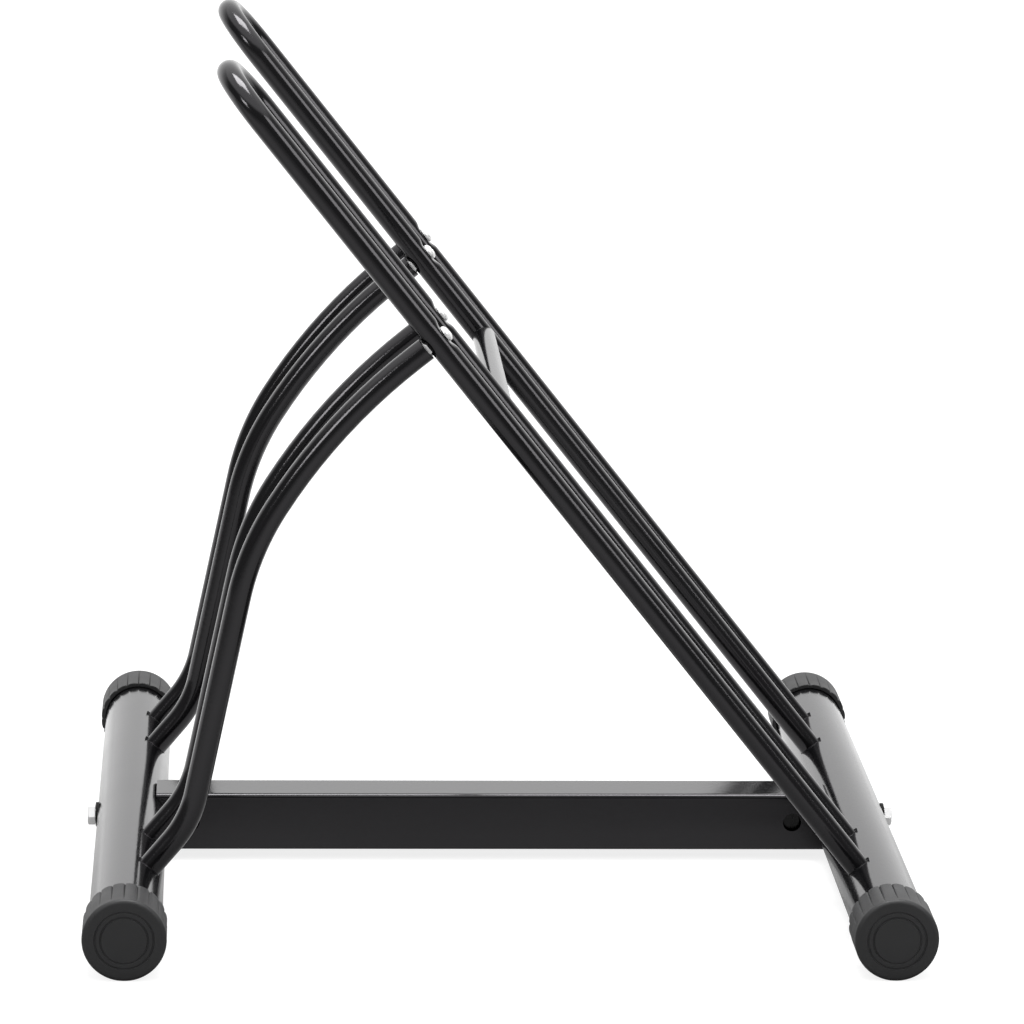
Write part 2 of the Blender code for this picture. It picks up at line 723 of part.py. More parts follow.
support_mesh = support_tube()
joint_bolt_mesh = joint_bolt()
joint_washer_mesh = joint_washer()
insert_mesh = insert_nut()
leg_places = [
    LOOP_PITCH / 2 * loop_side + LOOP_HALF_SPACING * leg_side
    for loop_side in (-1, 1)
    for leg_side in (-1, 1)
]
for number, y in enumerate(leg_places, start=1):
    joint = right_axis + Y_AXIS * y + LEG_DIRECTION * JOINT_REACH
    place(f"support_tube_{number}", support_mesh, powder_coat, left_axis + Y_AXIS * y)
    place(f"loop_bolt_{number}", joint_bolt_mesh, zinc, joint, leg_tilt)
    place(f"leg_saddle_washer_{number}", joint_washer_mesh, rubber, joint, leg_tilt)
    place(f"insert_nut_{number}", insert_mesh, zinc, joint, leg_tilt)
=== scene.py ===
"""Looks for a floor rack for two bicycles: smooth tubes, welds, fastenings and finishes.

Lengths are in metres, in the frame of the solid model. Every piece is shaped in mesh
code from the same named sizes as the solid that it stands for.
"""

import math

import bmesh
import bpy
from mathutils import Matrix, Vector, noise


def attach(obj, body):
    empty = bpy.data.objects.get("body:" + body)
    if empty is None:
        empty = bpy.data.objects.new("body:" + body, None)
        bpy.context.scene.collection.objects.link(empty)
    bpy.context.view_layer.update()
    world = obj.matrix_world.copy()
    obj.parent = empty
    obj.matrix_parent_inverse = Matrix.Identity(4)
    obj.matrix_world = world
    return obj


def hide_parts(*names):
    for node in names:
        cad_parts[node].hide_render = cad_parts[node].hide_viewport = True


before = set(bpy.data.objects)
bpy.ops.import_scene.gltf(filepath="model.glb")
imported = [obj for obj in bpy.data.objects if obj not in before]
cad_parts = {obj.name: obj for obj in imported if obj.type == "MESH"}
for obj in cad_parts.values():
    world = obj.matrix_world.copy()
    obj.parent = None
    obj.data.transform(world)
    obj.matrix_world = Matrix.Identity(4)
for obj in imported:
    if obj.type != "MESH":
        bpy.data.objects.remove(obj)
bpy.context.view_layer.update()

# Clearance between touching pieces, and how far welded tubes run into each other
FIT_GAP = 0.0003
WELD_SINK = 0.0004

# Base tubes
BASE_RADIUS = 0.024
BASE_WALL = 0.002
BASE_LENGTH = 0.600
BASE_SPACING = 0.500
BASE_CHAMFER = 0.0004
BASE_SADDLE_RADIUS = BASE_RADIUS + FIT_GAP

# End caps
CAP_BORE_RADIUS = BASE_RADIUS + FIT_GAP
CAP_SKIRT_WALL = 0.0032
CAP_RADIUS = CAP_BORE_RADIUS + CAP_SKIRT_WALL
CAP_END_WALL = 0.0047
CAP_LENGTH = 0.040
CAP_EDGE_RADIUS = 0.003
CAP_LOBES = 20
CAP_GROOVE_DEPTH = 0.0011
CAP_GROOVE_SHARPNESS = 12
CAP_LOBE_DOMING = 0.0005
CAP_GROOVE_FADE = 0.6
CAP_RING_MARGIN = 0.0085
CAP_RING_WIDTH = 0.0036
CAP_RING_HEIGHT = 0.0004
CAP_RING_GROOVE_DEPTH = 0.0008
CAP_RING_GROOVE_WIDTH = 0.0014
CAP_RING_GROOVE_FLOOR_SHARE = 0.35
CAP_FOOT_FLAT = 0.0004
CAP_RIM_EDGE = 0.0004
CAP_FACE_CENTRE_RADIUS = 0.006
BASE_AXIS_HEIGHT = CAP_RADIUS - CAP_FOOT_FLAT

# Cross beam, with the nuts and bolts that hold it
BEAM_SIZE = 0.040
BEAM_WALL = 0.0015
BEAM_CORNER_RADIUS = 0.003
BEAM_END_TO_BASE_AXIS = 0.017
BEAM_BOLT_RADIUS = 0.004
BEAM_BOLT_HEAD_FLATS = 0.013
BEAM_BOLT_HEAD_HEIGHT = 0.0053
BEAM_BOLT_TIP = 0.045
BEAM_BOLT_TIP_CHAMFER = 0.0006
BEAM_BOLT_CHAMFER_SLOPE = math.tan(math.radians(30))
BEAM_BOLT_CHAMFER_START = 0.97
BEAM_BOLT_FACE_CENTRE = 0.5
BARREL_NUT_RADIUS = 0.006
BARREL_NUT_RECESS = 0.005
BARREL_NUT_TO_BASE_AXIS = 0.0406
BARREL_NUT_CHAMFER = 0.0005
BARREL_NUT_SLOT_HALF_WIDTH = 0.0007
BARREL_NUT_SLOT_HALF_LENGTH = 0.008
BARREL_NUT_SLOT_DEPTH = 0.0012
BARREL_NUT_HOLE_HALF_LENGTH = 0.01
CUT_OVERRUN = 0.002
BASE_WASHER_RADIUS = 0.0085
BASE_WASHER_THICKNESS = 0.001
BASE_WASHER_RING_STEP = 0.0014
HEX_EDGE = 0.0002

# Wheel loops and the strut between them
LOOP_RADIUS = 0.008
LOOP_HALF_SPACING = 0.036
LOOP_REACH = 0.695
LOOP_LEAN = math.radians(38.7)
LOOP_PITCH = 0.314
LOOP_FOOT_STRAIGHT = 0.02
LOOP_ARCH_STRAIGHT = 0.02
LOOP_JOINT_STRAIGHT = 0.03
COPE_CLEARANCE = 0.0015
STRUT_RADIUS = 0.008
STRUT_REACH = 0.406
STRUT_COPE_CLEARANCE = 0.002

# Support tubes
SUPPORT_RADIUS = 0.008
SUPPORT_WALL = 0.0015
SUPPORT_ROOT_ANGLE = math.radians(50.0)
SUPPORT_ROOT_STRAIGHT = 0.022
SUPPORT_ROOT_RADIUS = 0.075
SUPPORT_SHOULDER_RADIUS = 0.185
SUPPORT_SHOULDER_ANGLE = math.radians(58.0)
SUPPORT_TOP_RADIUS = 0.400
SUPPORT_END_STRAIGHT = 0.010
SUPPORT_END_EDGE = 0.0003

# Bolted joints between the legs and the support tubes
JOINT_REACH = 0.478
JOINT_BOLT_RADIUS = 0.003
JOINT_BOLT_HEAD_RADIUS = 0.0055
JOINT_BOLT_HEAD_HEIGHT = 0.0038
JOINT_BOLT_RIM_HEIGHT = 0.0010
JOINT_BOLT_ENGAGEMENT = 0.010
JOINT_BOLT_TIP_CHAMFER = 0.0007
JOINT_BOLT_UNDER_INSET = 0.0003
JOINT_BOLT_UNDER_EDGE = 0.0002
JOINT_BOLT_RIM_INSET = 0.00005
JOINT_BOLT_DOME_END = math.radians(26)
JOINT_BOLT_DOME_STEP = math.radians(4)
JOINT_BOLT_FLAT_ANGLE = math.radians(24)
JOINT_SOCKET_APOTHEM = 0.0018
JOINT_SOCKET_DEPTH = 0.0022
JOINT_SOCKET_LIP_WIDTH = 0.00012
JOINT_SOCKET_LIP_DEPTH = 0.00015
JOINT_SEAT_HEIGHT = 0.0062
JOINT_SEAT_HALF = 0.0044
JOINT_SEAT_RUN_OUT = 0.0080
JOINT_SEAT_KNEE = 0.0009
JOINT_SEAT_BULGE = 0.045
JOINT_SEAT_STEP = 0.0005
JOINT_WASHER_RADIUS = 0.0059
JOINT_WASHER_THICKNESS = 0.0005
JOINT_FINE_EDGE = 0.00015
SADDLE_CLEARANCE = 0.00005
LOOP_SADDLE_RADIUS = LOOP_RADIUS + SADDLE_CLEARANCE
WASHER_BACK_RADIUS = LOOP_SADDLE_RADIUS + JOINT_WASHER_THICKNESS
INSERT_SADDLE_RADIUS = WASHER_BACK_RADIUS + SADDLE_CLEARANCE
SUPPORT_END_GAP = 0.0008
SUPPORT_END_TO_LEG_AXIS = LOOP_RADIUS + SUPPORT_END_GAP
INSERT_NUT_GRIP = 0.014
INSERT_CORNER_RADIUS = SUPPORT_RADIUS - SUPPORT_WALL - FIT_GAP

# Weld beads
WELD_LEG = 0.0009
WELD_HOLLOW = 0.15
WELD_TOE_BULGE = 1.3
WELD_TOE_SPREAD = 0.14
WELD_RIPPLES = 44
WELD_RIPPLE_DEPTH = 0.05
WELD_ROOT_DEPTH = 0.0004
WELD_WANDER = 0.18
WELD_WANDER_SCALE = 3
WELD_TOE_WIDENING = 0.3
WELD_PEAK = 2
STRUT_WELD_FIT = 0.97
SUPPORT_WELD_SEED = 10
STRUT_WELD_SEED = 20

# Fineness
BASE_SIDES = 128
TUBE_SIDES = 64
SMALL_SIDES = 48
HEX_BOLT_SIDES = 120
PAN_HEAD_SIDES = 72
RING_SIDES = 96
BEND_STEP = math.radians(2.0)
BEAM_CORNER_STEPS = 8
BEAM_END_STEP = 0.001
CAP_SKIRT_STEP = 0.002
CAP_EDGE_STEP = math.radians(7.5)
CAP_HALF_LOBE = (0.14, 0.40, 0.60, 0.74, 0.82, 0.88, 0.92, 0.95, 0.975, 0.99)
WELD_STEPS = 240
WELD_PROFILE_STEPS = 8
RISER_HALVINGS = 40

# Angles in degrees above which an edge stays sharp
CREASE = 35.0
CAP_CREASE = 24
HEX_BOLT_CREASE = 20
LOOP_CREASE = 50
PAN_HEAD_CREASE = 30
INSERT_CREASE = 25
WELD_CREASE = 60

# Finishes: colours and roughness from low to high, noise scales as cells per metre,
# and reliefs as a height in metres with its strength
PLAIN_DETAIL = 2
RICH_DETAIL = 3
POWDER_COLOURS = ((0.0030, 0.0030, 0.0034), (0.0045, 0.0045, 0.0050))
POWDER_ROUGHNESS = (0.12, 0.17)
POWDER_SPECULAR = 0.5
# Reflections of the powder coat tinted faintly magenta: a painted tint of the studio light
POWDER_REFLECTION_TINT = (0.985, 0.96, 1.0, 1.0)
POWDER_IOR = 1.5
POWDER_PEEL_SCALE = 420
POWDER_PEEL_RELIEF = (0.00010, 0.35)
POWDER_GRAIN_SCALE = 2600
POWDER_GRAIN_RELIEF = (0.00002, 0.25)
POWDER_HAZE_SCALE = 22
WELD_POWDER_ROUGHNESS = (0.40, 0.50)
WELD_POWDER_SPECULAR = 0.1
CAP_COLOURS = ((0.0115, 0.0115, 0.0122), (0.0165, 0.0165, 0.0175))
CAP_ROUGHNESS = (0.50, 0.62)
CAP_GRAIN_SCALE = 3200
CAP_GRAIN_RELIEF = (0.00008, 0.5)
CAP_CLOUD_SCALE = 60
CAP_CLOUD_RELIEF = (0.0002, 0.15)
BRIGHT_ZINC_GREYS = (0.78, 0.87)
BRIGHT_ZINC_ROUGHNESS = (0.30, 0.40)
BRIGHT_ZINC_METALLIC = 0.45
# Barrel nuts: zinc coloured almost black, a painted shade for the recess in the beam hole where
# they sit
NUT_ZINC_PAINTED_SHADE_GREYS = (0.02, 0.04)
NUT_ZINC_PAINTED_SHADE_ROUGHNESS = (0.24, 0.34)
NUT_ZINC_PAINTED_SHADE_METALLIC = 1.0
ZINC_CLOUD_SCALE = 260
ZINC_MARKS_SCALE = 5200
ZINC_MARKS_RELIEF = (0.00002, 0.08)
WASHER_GREYS = (0.012, 0.020)
WASHER_ROUGHNESS = (0.66, 0.80)
WASHER_SPECULAR = 0.1
WASHER_GRAIN_SCALE = 1800
WASHER_GRAIN_RELIEF = (0.00006, 0.4)

X_AXIS = Vector((1, 0, 0))
Y_AXIS = Vector((0, 1, 0))
Z_AXIS = Vector((0, 0, 1))
LEFT_AXIS = Vector((-BASE_SPACING / 2, 0, BASE_AXIS_HEIGHT))
RIGHT_AXIS = Vector((BASE_SPACING / 2, 0, BASE_AXIS_HEIGHT))
LEG_DIRECTION = Vector((-math.sin(LOOP_LEAN), 0, math.cos(LOOP_LEAN)))
LEG_FRONT = Vector((math.cos(LOOP_LEAN), 0, math.sin(LOOP_LEAN)))
LEG_PLACES = [
    LOOP_PITCH / 2 * loop_side + LOOP_HALF_SPACING * leg_side
    for loop_side in (-1, 1)
    for leg_side in (-1, 1)
]
INNER_LEG = LOOP_PITCH / 2 - LOOP_HALF_SPACING
HALF_TURN = Matrix.Rotation(math.pi, 4, "Z")


# Materials

def new_material(name):
    material = bpy.data.materials.new(name)
    material.use_nodes = True
    tree = material.node_tree
    return material, tree, tree.nodes["Principled BSDF"]


def noise_over_rack(tree, scale, detail):
    """Height of a noise that is laid out in metres over the rack."""
    place = tree.nodes.new("ShaderNodeTexCoord")
    node = tree.nodes.new("ShaderNodeTexNoise")
    node.inputs["Scale"].default_value = scale
    node.inputs["Detail"].default_value = detail
    tree.links.new(place.outputs["Object"], node.inputs["Vector"])
    return node.outputs["Fac"]


def spread(tree, source, low, high, middle=0.5, half_width=0.25):
    """A value that runs from low to high as the source crosses a ramp."""
    node = tree.nodes.new("ShaderNodeMapRange")
    node.inputs["From Min"].default_value = middle - half_width
    node.inputs["From Max"].default_value = middle + half_width
    node.inputs["To Min"].default_value = low
    node.inputs["To Max"].default_value = high
    tree.links.new(source, node.inputs["Value"])
    return node.outputs["Result"]


def two_tone(tree, source, dark, light):
    """A colour between the two that follows the source."""
    share = spread(tree, source, 0, 1)
    node = tree.nodes.new("ShaderNodeMix")
    node.data_type = "RGBA"
    node.inputs["A"].default_value = (*dark, 1)
    node.inputs["B"].default_value = (*light, 1)
    tree.links.new(share, node.inputs["Factor"])
    return node.outputs["Result"]


def bumps(tree, shader, layers):
    """Stacked bumps, each a (height source, distance, strength)."""
    last = None
    for source, distance, strength in layers:
        node = tree.nodes.new("ShaderNodeBump")
        node.inputs["Distance"].default_value = distance
        node.inputs["Strength"].default_value = strength
        tree.links.new(source, node.inputs["Height"])
        if last is not None:
            tree.links.new(last, node.inputs["Normal"])
        last = node.outputs["Normal"]
    tree.links.new(last, shader.inputs["Normal"])


def powder_coat_material(name, roughness, specular):
    """Black powder coat: a soft orange peel, fine grain and faint haze."""
    material, tree, shader = new_material(name)
    peel = noise_over_rack(tree, POWDER_PEEL_SCALE, PLAIN_DETAIL)
    grain = noise_over_rack(tree, POWDER_GRAIN_SCALE, PLAIN_DETAIL)
    haze = noise_over_rack(tree, POWDER_HAZE_SCALE, RICH_DETAIL)
    tree.links.new(two_tone(tree, haze, *POWDER_COLOURS), shader.inputs["Base Color"])
    tree.links.new(spread(tree, haze, *roughness), shader.inputs["Roughness"])
    shader.inputs["IOR"].default_value = POWDER_IOR
    shader.inputs["Specular IOR Level"].default_value = specular
    # Specular tint: the painted magenta tint of the light in the coat's reflections
    shader.inputs["Specular Tint"].default_value = POWDER_REFLECTION_TINT
    bumps(tree, shader, [(peel, *POWDER_PEEL_RELIEF), (grain, *POWDER_GRAIN_RELIEF)])
    return material


def cap_plastic_material():
    """Matte black moulded plastic with a fine eroded grain and a faint cloudiness."""
    material, tree, shader = new_material("cap_moulded_plastic")
    grain = noise_over_rack(tree, CAP_GRAIN_SCALE, RICH_DETAIL)
    cloud = noise_over_rack(tree, CAP_CLOUD_SCALE, RICH_DETAIL)
    tree.links.new(two_tone(tree, cloud, *CAP_COLOURS), shader.inputs["Base Color"])
    tree.links.new(spread(tree, cloud, *CAP_ROUGHNESS), shader.inputs["Roughness"])
    bumps(tree, shader, [(cloud, *CAP_CLOUD_RELIEF), (grain, *CAP_GRAIN_RELIEF)])
    return material


def zinc_material(name, greys, roughness, metallic):
    """Zinc plating, a little cloudy, with fine drawing marks."""
    material, tree, shader = new_material(name)
    cloud = noise_over_rack(tree, ZINC_CLOUD_SCALE, RICH_DETAIL)
    marks = noise_over_rack(tree, ZINC_MARKS_SCALE, PLAIN_DETAIL)
    dark, light = ((grey, grey, grey) for grey in greys)
    tree.links.new(two_tone(tree, cloud, dark, light), shader.inputs["Base Color"])
    shader.inputs["Metallic"].default_value = metallic
    tree.links.new(spread(tree, cloud, *roughness), shader.inputs["Roughness"])
    bumps(tree, shader, [(marks, *ZINC_MARKS_RELIEF)])
    return material


def washer_material():
    """Soft black plastic of the washers."""
    material, tree, shader = new_material("washer_black")
    grain = noise_over_rack(tree, WASHER_GRAIN_SCALE, RICH_DETAIL)
    dark, light = ((grey, grey, grey) for grey in WASHER_GREYS)
    tree.links.new(two_tone(tree, grain, dark, light), shader.inputs["Base Color"])
    tree.links.new(spread(tree, grain, *WASHER_ROUGHNESS), shader.inputs["Roughness"])
    shader.inputs["Specular IOR Level"].default_value = WASHER_SPECULAR
    bumps(tree, shader, [(grain, *WASHER_GRAIN_RELIEF)])
    return material


# Each finish is a material with a slot name beside it, which nothing in the script reads
POWDER = (
    powder_coat_material("powder_coat_smooth", POWDER_ROUGHNESS, POWDER_SPECULAR),
    "powder_coat",
)
WELD_POWDER = (
    powder_coat_material("powder_coat_weld", WELD_POWDER_ROUGHNESS, WELD_POWDER_SPECULAR),
    "powder_coat",
)
PLASTIC = (cap_plastic_material(), "cap_plastic")
BRIGHT_ZINC = (
    zinc_material(
        "zinc_bright", BRIGHT_ZINC_GREYS, BRIGHT_ZINC_ROUGHNESS, BRIGHT_ZINC_METALLIC
    ),
    "zinc",
)
# Nearly black zinc for the barrel nuts: painted shade of the beam hole they sit in
NUT_ZINC_PAINTED_SHADE = (
    zinc_material("zinc_painted_shade", NUT_ZINC_PAINTED_SHADE_GREYS, NUT_ZINC_PAINTED_SHADE_ROUGHNESS, NUT_ZINC_PAINTED_SHADE_METALLIC),
    "zinc",
)
WASHER = (washer_material(), "washer_plastic")


# Mesh building

def turn_angles(count):
    return [math.tau * i / count for i in range(count)]


def skinned(rings, returning=False):
    """Mesh between rings of equal length, capped at both ends or run back to the first."""
    bm = bmesh.new()
    rows = [[bm.verts.new(point) for point in ring] for ring in rings]
    pairs = list(zip(rows, rows[1:]))
    if returning:
        pairs.append((rows[-1], rows[0]))
    for first, second in pairs:
        for i in range(len(first)):
            j = (i + 1) % len(first)
            bm.faces.new((first[i], first[j], second[j], second[i]))
    if not returning:
        bm.faces.new(rows[0][::-1])
        bm.faces.new(rows[-1])
    bmesh.ops.recalc_face_normals(bm, faces=bm.faces)
    mesh = bpy.data.meshes.new("shape")
    bm.to_mesh(mesh)
    bm.free()
    return mesh


def piece(name, mesh, finish, nodes=(), place=Matrix(), crease=CREASE):
    """One visible piece from a mesh in a frame of its own, which stays as it is."""
    mesh = mesh.copy()
    mesh.name = name
    mesh.transform(place)
    mesh.materials.clear()
    mesh.materials.append(finish[0])
    mesh.shade_smooth()
    mesh.set_sharp_from_angle(angle=math.radians(crease))
    body = bpy.data.objects.new(name, mesh)
    bpy.context.scene.collection.objects.link(body)
    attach(body, "root")
    if nodes:
        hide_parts(*nodes)


def cut(mesh, *tools):
    """The mesh with the closed tool meshes taken out of it."""
    body = bpy.data.objects.new("cut_body", mesh)
    bpy.context.scene.collection.objects.link(body)
    helpers = []
    for tool in tools:
        helper = bpy.data.objects.new("cut_tool", tool)
        bpy.context.scene.collection.objects.link(helper)
        helpers.append(helper)
        modifier = body.modifiers.new("cut", "BOOLEAN")
        modifier.operation = "DIFFERENCE"
        modifier.solver = "EXACT"
        modifier.object = helper
    graph = bpy.context.evaluated_depsgraph_get()
    result = bpy.data.meshes.new_from_object(body.evaluated_get(graph))
    for old in (body, *helpers):
        bpy.data.objects.remove(old, do_unlink=True)
    return result


def along_y(radius, y, sides):
    """Ring across Y that starts at +Z."""
    return [Vector((radius * math.sin(a), y, radius * math.cos(a))) for a in turn_angles(sides)]


def along_x(radius, x, sides):
    """Ring across X that starts at +Z."""
    return [Vector((x, radius * math.sin(a), radius * math.cos(a))) for a in turn_angles(sides)]


def circle(radius, x, sides):
    """Ring across X that starts at +Y."""
    return [Vector((x, radius * math.cos(a), radius * math.sin(a))) for a in turn_angles(sides)]


def hexagon_radius(angle, apothem):
    """How far a hexagon with a corner at +Y reaches at an angle from +Y."""
    sixth = math.pi / 3
    return apothem / math.cos((angle % sixth) - sixth / 2)


def hexagon(apothem, x, sides):
    """Hexagonal ring across X that starts at +Y."""
    ring = []
    for a in turn_angles(sides):
        radius = hexagon_radius(a, apothem)
        ring.append(Vector((x, radius * math.cos(a), radius * math.sin(a))))
    return ring


def heading(angle):
    """The way that is angle above +X."""
    return Vector((math.cos(angle), 0, math.sin(angle)))


def left_of(angle):
    """The way that is a quarter turn beyond heading(angle)."""
    return Vector((-math.sin(angle), 0, math.cos(angle)))


def smooth_step(value):
    value = min(1.0, max(0.0, value))
    return value * value * (3 - 2 * value)


def steps_between(start, end, step):
    count = max(1, math.ceil(abs(end - start) / step))
    return [start + (end - start) * i / count for i in range(count + 1)]


def leg_frame(y, reach=0.0):
    """X to the leg's front, Y along the rack, Z up the leg, from the base tube's axis."""
    foot = Matrix.Translation(RIGHT_AXIS + Y_AXIS * y)
    tilt = Matrix.Rotation(-LOOP_LEAN, 4, "Y")
    return foot @ tilt @ Matrix.Translation(Z_AXIS * reach)


# Base tubes and beam

def base_tube():
    """Hollow round tube with lightly chamfered ends."""
    half = BASE_LENGTH / 2
    inner = BASE_RADIUS - BASE_WALL
    rings = []
    for side in (-1, 1):
        end = [
            (inner, half - BASE_CHAMFER),
            (inner + BASE_CHAMFER, half),
            (BASE_RADIUS - BASE_CHAMFER, half),
            (BASE_RADIUS, half - BASE_CHAMFER),
        ]
        if side == 1:
            end.reverse()
        rings += [along_y(radius, y * side, BASE_SIDES) for radius, y in end]
    return skinned(rings, returning=True)


def rounded_square(half, radius, steps):
    """Corner-rounded square outline as (y, z) pairs."""
    outline = []
    for quarter in range(4):
        turn = math.pi / 2 * quarter
        corner = half - radius
        cy = corner * (math.cos(turn) - math.sin(turn))
        cz = corner * (math.sin(turn) + math.cos(turn))
        for i in range(steps + 1):
            a = turn + math.pi / 2 * i / steps
            outline.append((cy + radius * math.cos(a), cz + radius * math.sin(a)))
    return outline


def dense_outline(outline, longest):
    """The outline with its long sides divided."""
    points = []
    for (y0, z0), (y1, z1) in zip(outline, outline[1:] + outline[:1]):
        count = max(1, math.ceil(math.hypot(y1 - y0, z1 - z0) / longest))
        for i in range(count):
            points.append((y0 + (y1 - y0) * i / count, z0 + (z1 - z0) * i / count))
    return points


def beam_end(z):
    """Where the beam ends at height z from its axis: square, or coped on the base tube."""
    cope = math.sqrt(max(0.0, BASE_SADDLE_RADIUS**2 - z * z))
    return BASE_SPACING / 2 - max(BEAM_END_TO_BASE_AXIS, cope)


def cross_beam():
    """Square tube with coped ends, and a hole through both sides for each barrel nut."""
    section = rounded_square(BEAM_SIZE / 2, BEAM_CORNER_RADIUS, BEAM_CORNER_STEPS)
    outer = dense_outline(section, BEAM_END_STEP)
    shrink = 1 - 2 * BEAM_WALL / BEAM_SIZE
    inner = [(y * shrink, z * shrink) for y, z in outer]
    rings = []
    for outline, sides in ((inner, (1, -1)), (outer, (-1, 1))):
        for side in sides:
            rings.append([Vector((side * beam_end(z), y, z)) for y, z in outline])
    hole_radius = BARREL_NUT_RADIUS + FIT_GAP
    nut_reach = BASE_SPACING / 2 - BARREL_NUT_TO_BASE_AXIS
    holes = []
    for side in (-1, 1):
        hole = skinned([along_y(hole_radius, y, SMALL_SIDES) for y in (-BEAM_SIZE, BEAM_SIZE)])
        hole.transform(Matrix.Translation(X_AXIS * side * nut_reach))
        holes.append(hole)
    return cut(skinned(rings, returning=True), *holes)


def barrel_nut():
    """Round nut along Y with chamfered, slotted ends and a hole for the bolt along X."""
    half = BEAM_SIZE / 2 - BARREL_NUT_RECESS
    mesh = skinned([
        along_y(BARREL_NUT_RADIUS - BARREL_NUT_CHAMFER, -half, SMALL_SIDES),
        along_y(BARREL_NUT_RADIUS, -half + BARREL_NUT_CHAMFER, SMALL_SIDES),
        along_y(BARREL_NUT_RADIUS, half - BARREL_NUT_CHAMFER, SMALL_SIDES),
        along_y(BARREL_NUT_RADIUS - BARREL_NUT_CHAMFER, half, SMALL_SIDES),
    ])
    width, length = BARREL_NUT_SLOT_HALF_WIDTH, BARREL_NUT_SLOT_HALF_LENGTH
    corners = [(-width, -length), (width, -length), (width, length), (-width, length)]
    slots = []
    for side in (-1, 1):
        rings = []
        for y in (half - BARREL_NUT_SLOT_DEPTH, half + CUT_OVERRUN):
            rings.append([Vector((x, side * y, z)) for x, z in corners])
        slots.append(skinned(rings))
    bolt_hole = skinned([
        along_x(BEAM_BOLT_RADIUS + FIT_GAP, x, SMALL_SIDES)
        for x in (-BARREL_NUT_HOLE_HALF_LENGTH, BARREL_NUT_HOLE_HALF_LENGTH)
    ])
    return cut(mesh, bolt_hole, *slots)


def beam_bolt():
    """Hex bolt along X from the base tube's axis, its chamfered head towards +X."""
    under_head = BASE_SADDLE_RADIUS + BASE_WASHER_THICKNESS + FIT_GAP
    top = under_head + BEAM_BOLT_HEAD_HEIGHT
    apothem = BEAM_BOLT_HEAD_FLATS / 2
    chamfer_start = apothem * BEAM_BOLT_CHAMFER_START

    def head_ring(x, inset, chamfered):
        ring = []
        for a in turn_angles(HEX_BOLT_SIDES):
            radius = hexagon_radius(a, apothem) - inset
            height = x
            if chamfered:
                height -= max(0.0, radius - chamfer_start) * BEAM_BOLT_CHAMFER_SLOPE
            ring.append(Vector((height, radius * math.cos(a), radius * math.sin(a))))
        return ring

    tip = -BEAM_BOLT_TIP
    return skinned([
        circle(BEAM_BOLT_RADIUS - BEAM_BOLT_TIP_CHAMFER, tip, HEX_BOLT_SIDES),
        circle(BEAM_BOLT_RADIUS, tip + BEAM_BOLT_TIP_CHAMFER, HEX_BOLT_SIDES),
        circle(BEAM_BOLT_RADIUS, under_head, HEX_BOLT_SIDES),
        head_ring(under_head, HEX_EDGE, False),
        head_ring(under_head + HEX_EDGE, 0.0, False),
        head_ring(top - HEX_EDGE, 0.0, True),
        head_ring(top, HEX_EDGE, True),
        circle(chamfer_start - HEX_EDGE, top, HEX_BOLT_SIDES),
        circle(apothem * BEAM_BOLT_FACE_CENTRE, top, HEX_BOLT_SIDES),
    ])


def base_washer():
    """Round washer with a flat face for the bolt head and a hollow one for the tube."""
    face = BASE_SADDLE_RADIUS + BASE_WASHER_THICKNESS
    hole = BEAM_BOLT_RADIUS + FIT_GAP

    def hollow(radius):
        ring = []
        for a in turn_angles(RING_SIDES):
            y, z = radius * math.sin(a), radius * math.cos(a)
            ring.append(Vector((math.sqrt(BASE_SADDLE_RADIUS**2 - z**2), y, z)))
        return ring

    rings = [
        along_x(hole + HEX_EDGE, face, RING_SIDES),
        along_x(BASE_WASHER_RADIUS - HEX_EDGE, face, RING_SIDES),
        along_x(BASE_WASHER_RADIUS, face - HEX_EDGE, RING_SIDES),
        hollow(BASE_WASHER_RADIUS),
        hollow(hole + BASE_WASHER_RING_STEP * 2),
        hollow(hole + BASE_WASHER_RING_STEP),
        hollow(hole),
        along_x(hole, face - HEX_EDGE, RING_SIDES),
    ]
    return skinned(rings, returning=True)


# End caps

def cap_radius(across, fade):
    """Radius of the lobed skirt, from one narrow groove at -1 to the next at 1."""
    groove = CAP_GROOVE_DEPTH * abs(across) ** CAP_GROOVE_SHARPNESS
    return CAP_RADIUS - (groove + CAP_LOBE_DOMING * across**2) * fade


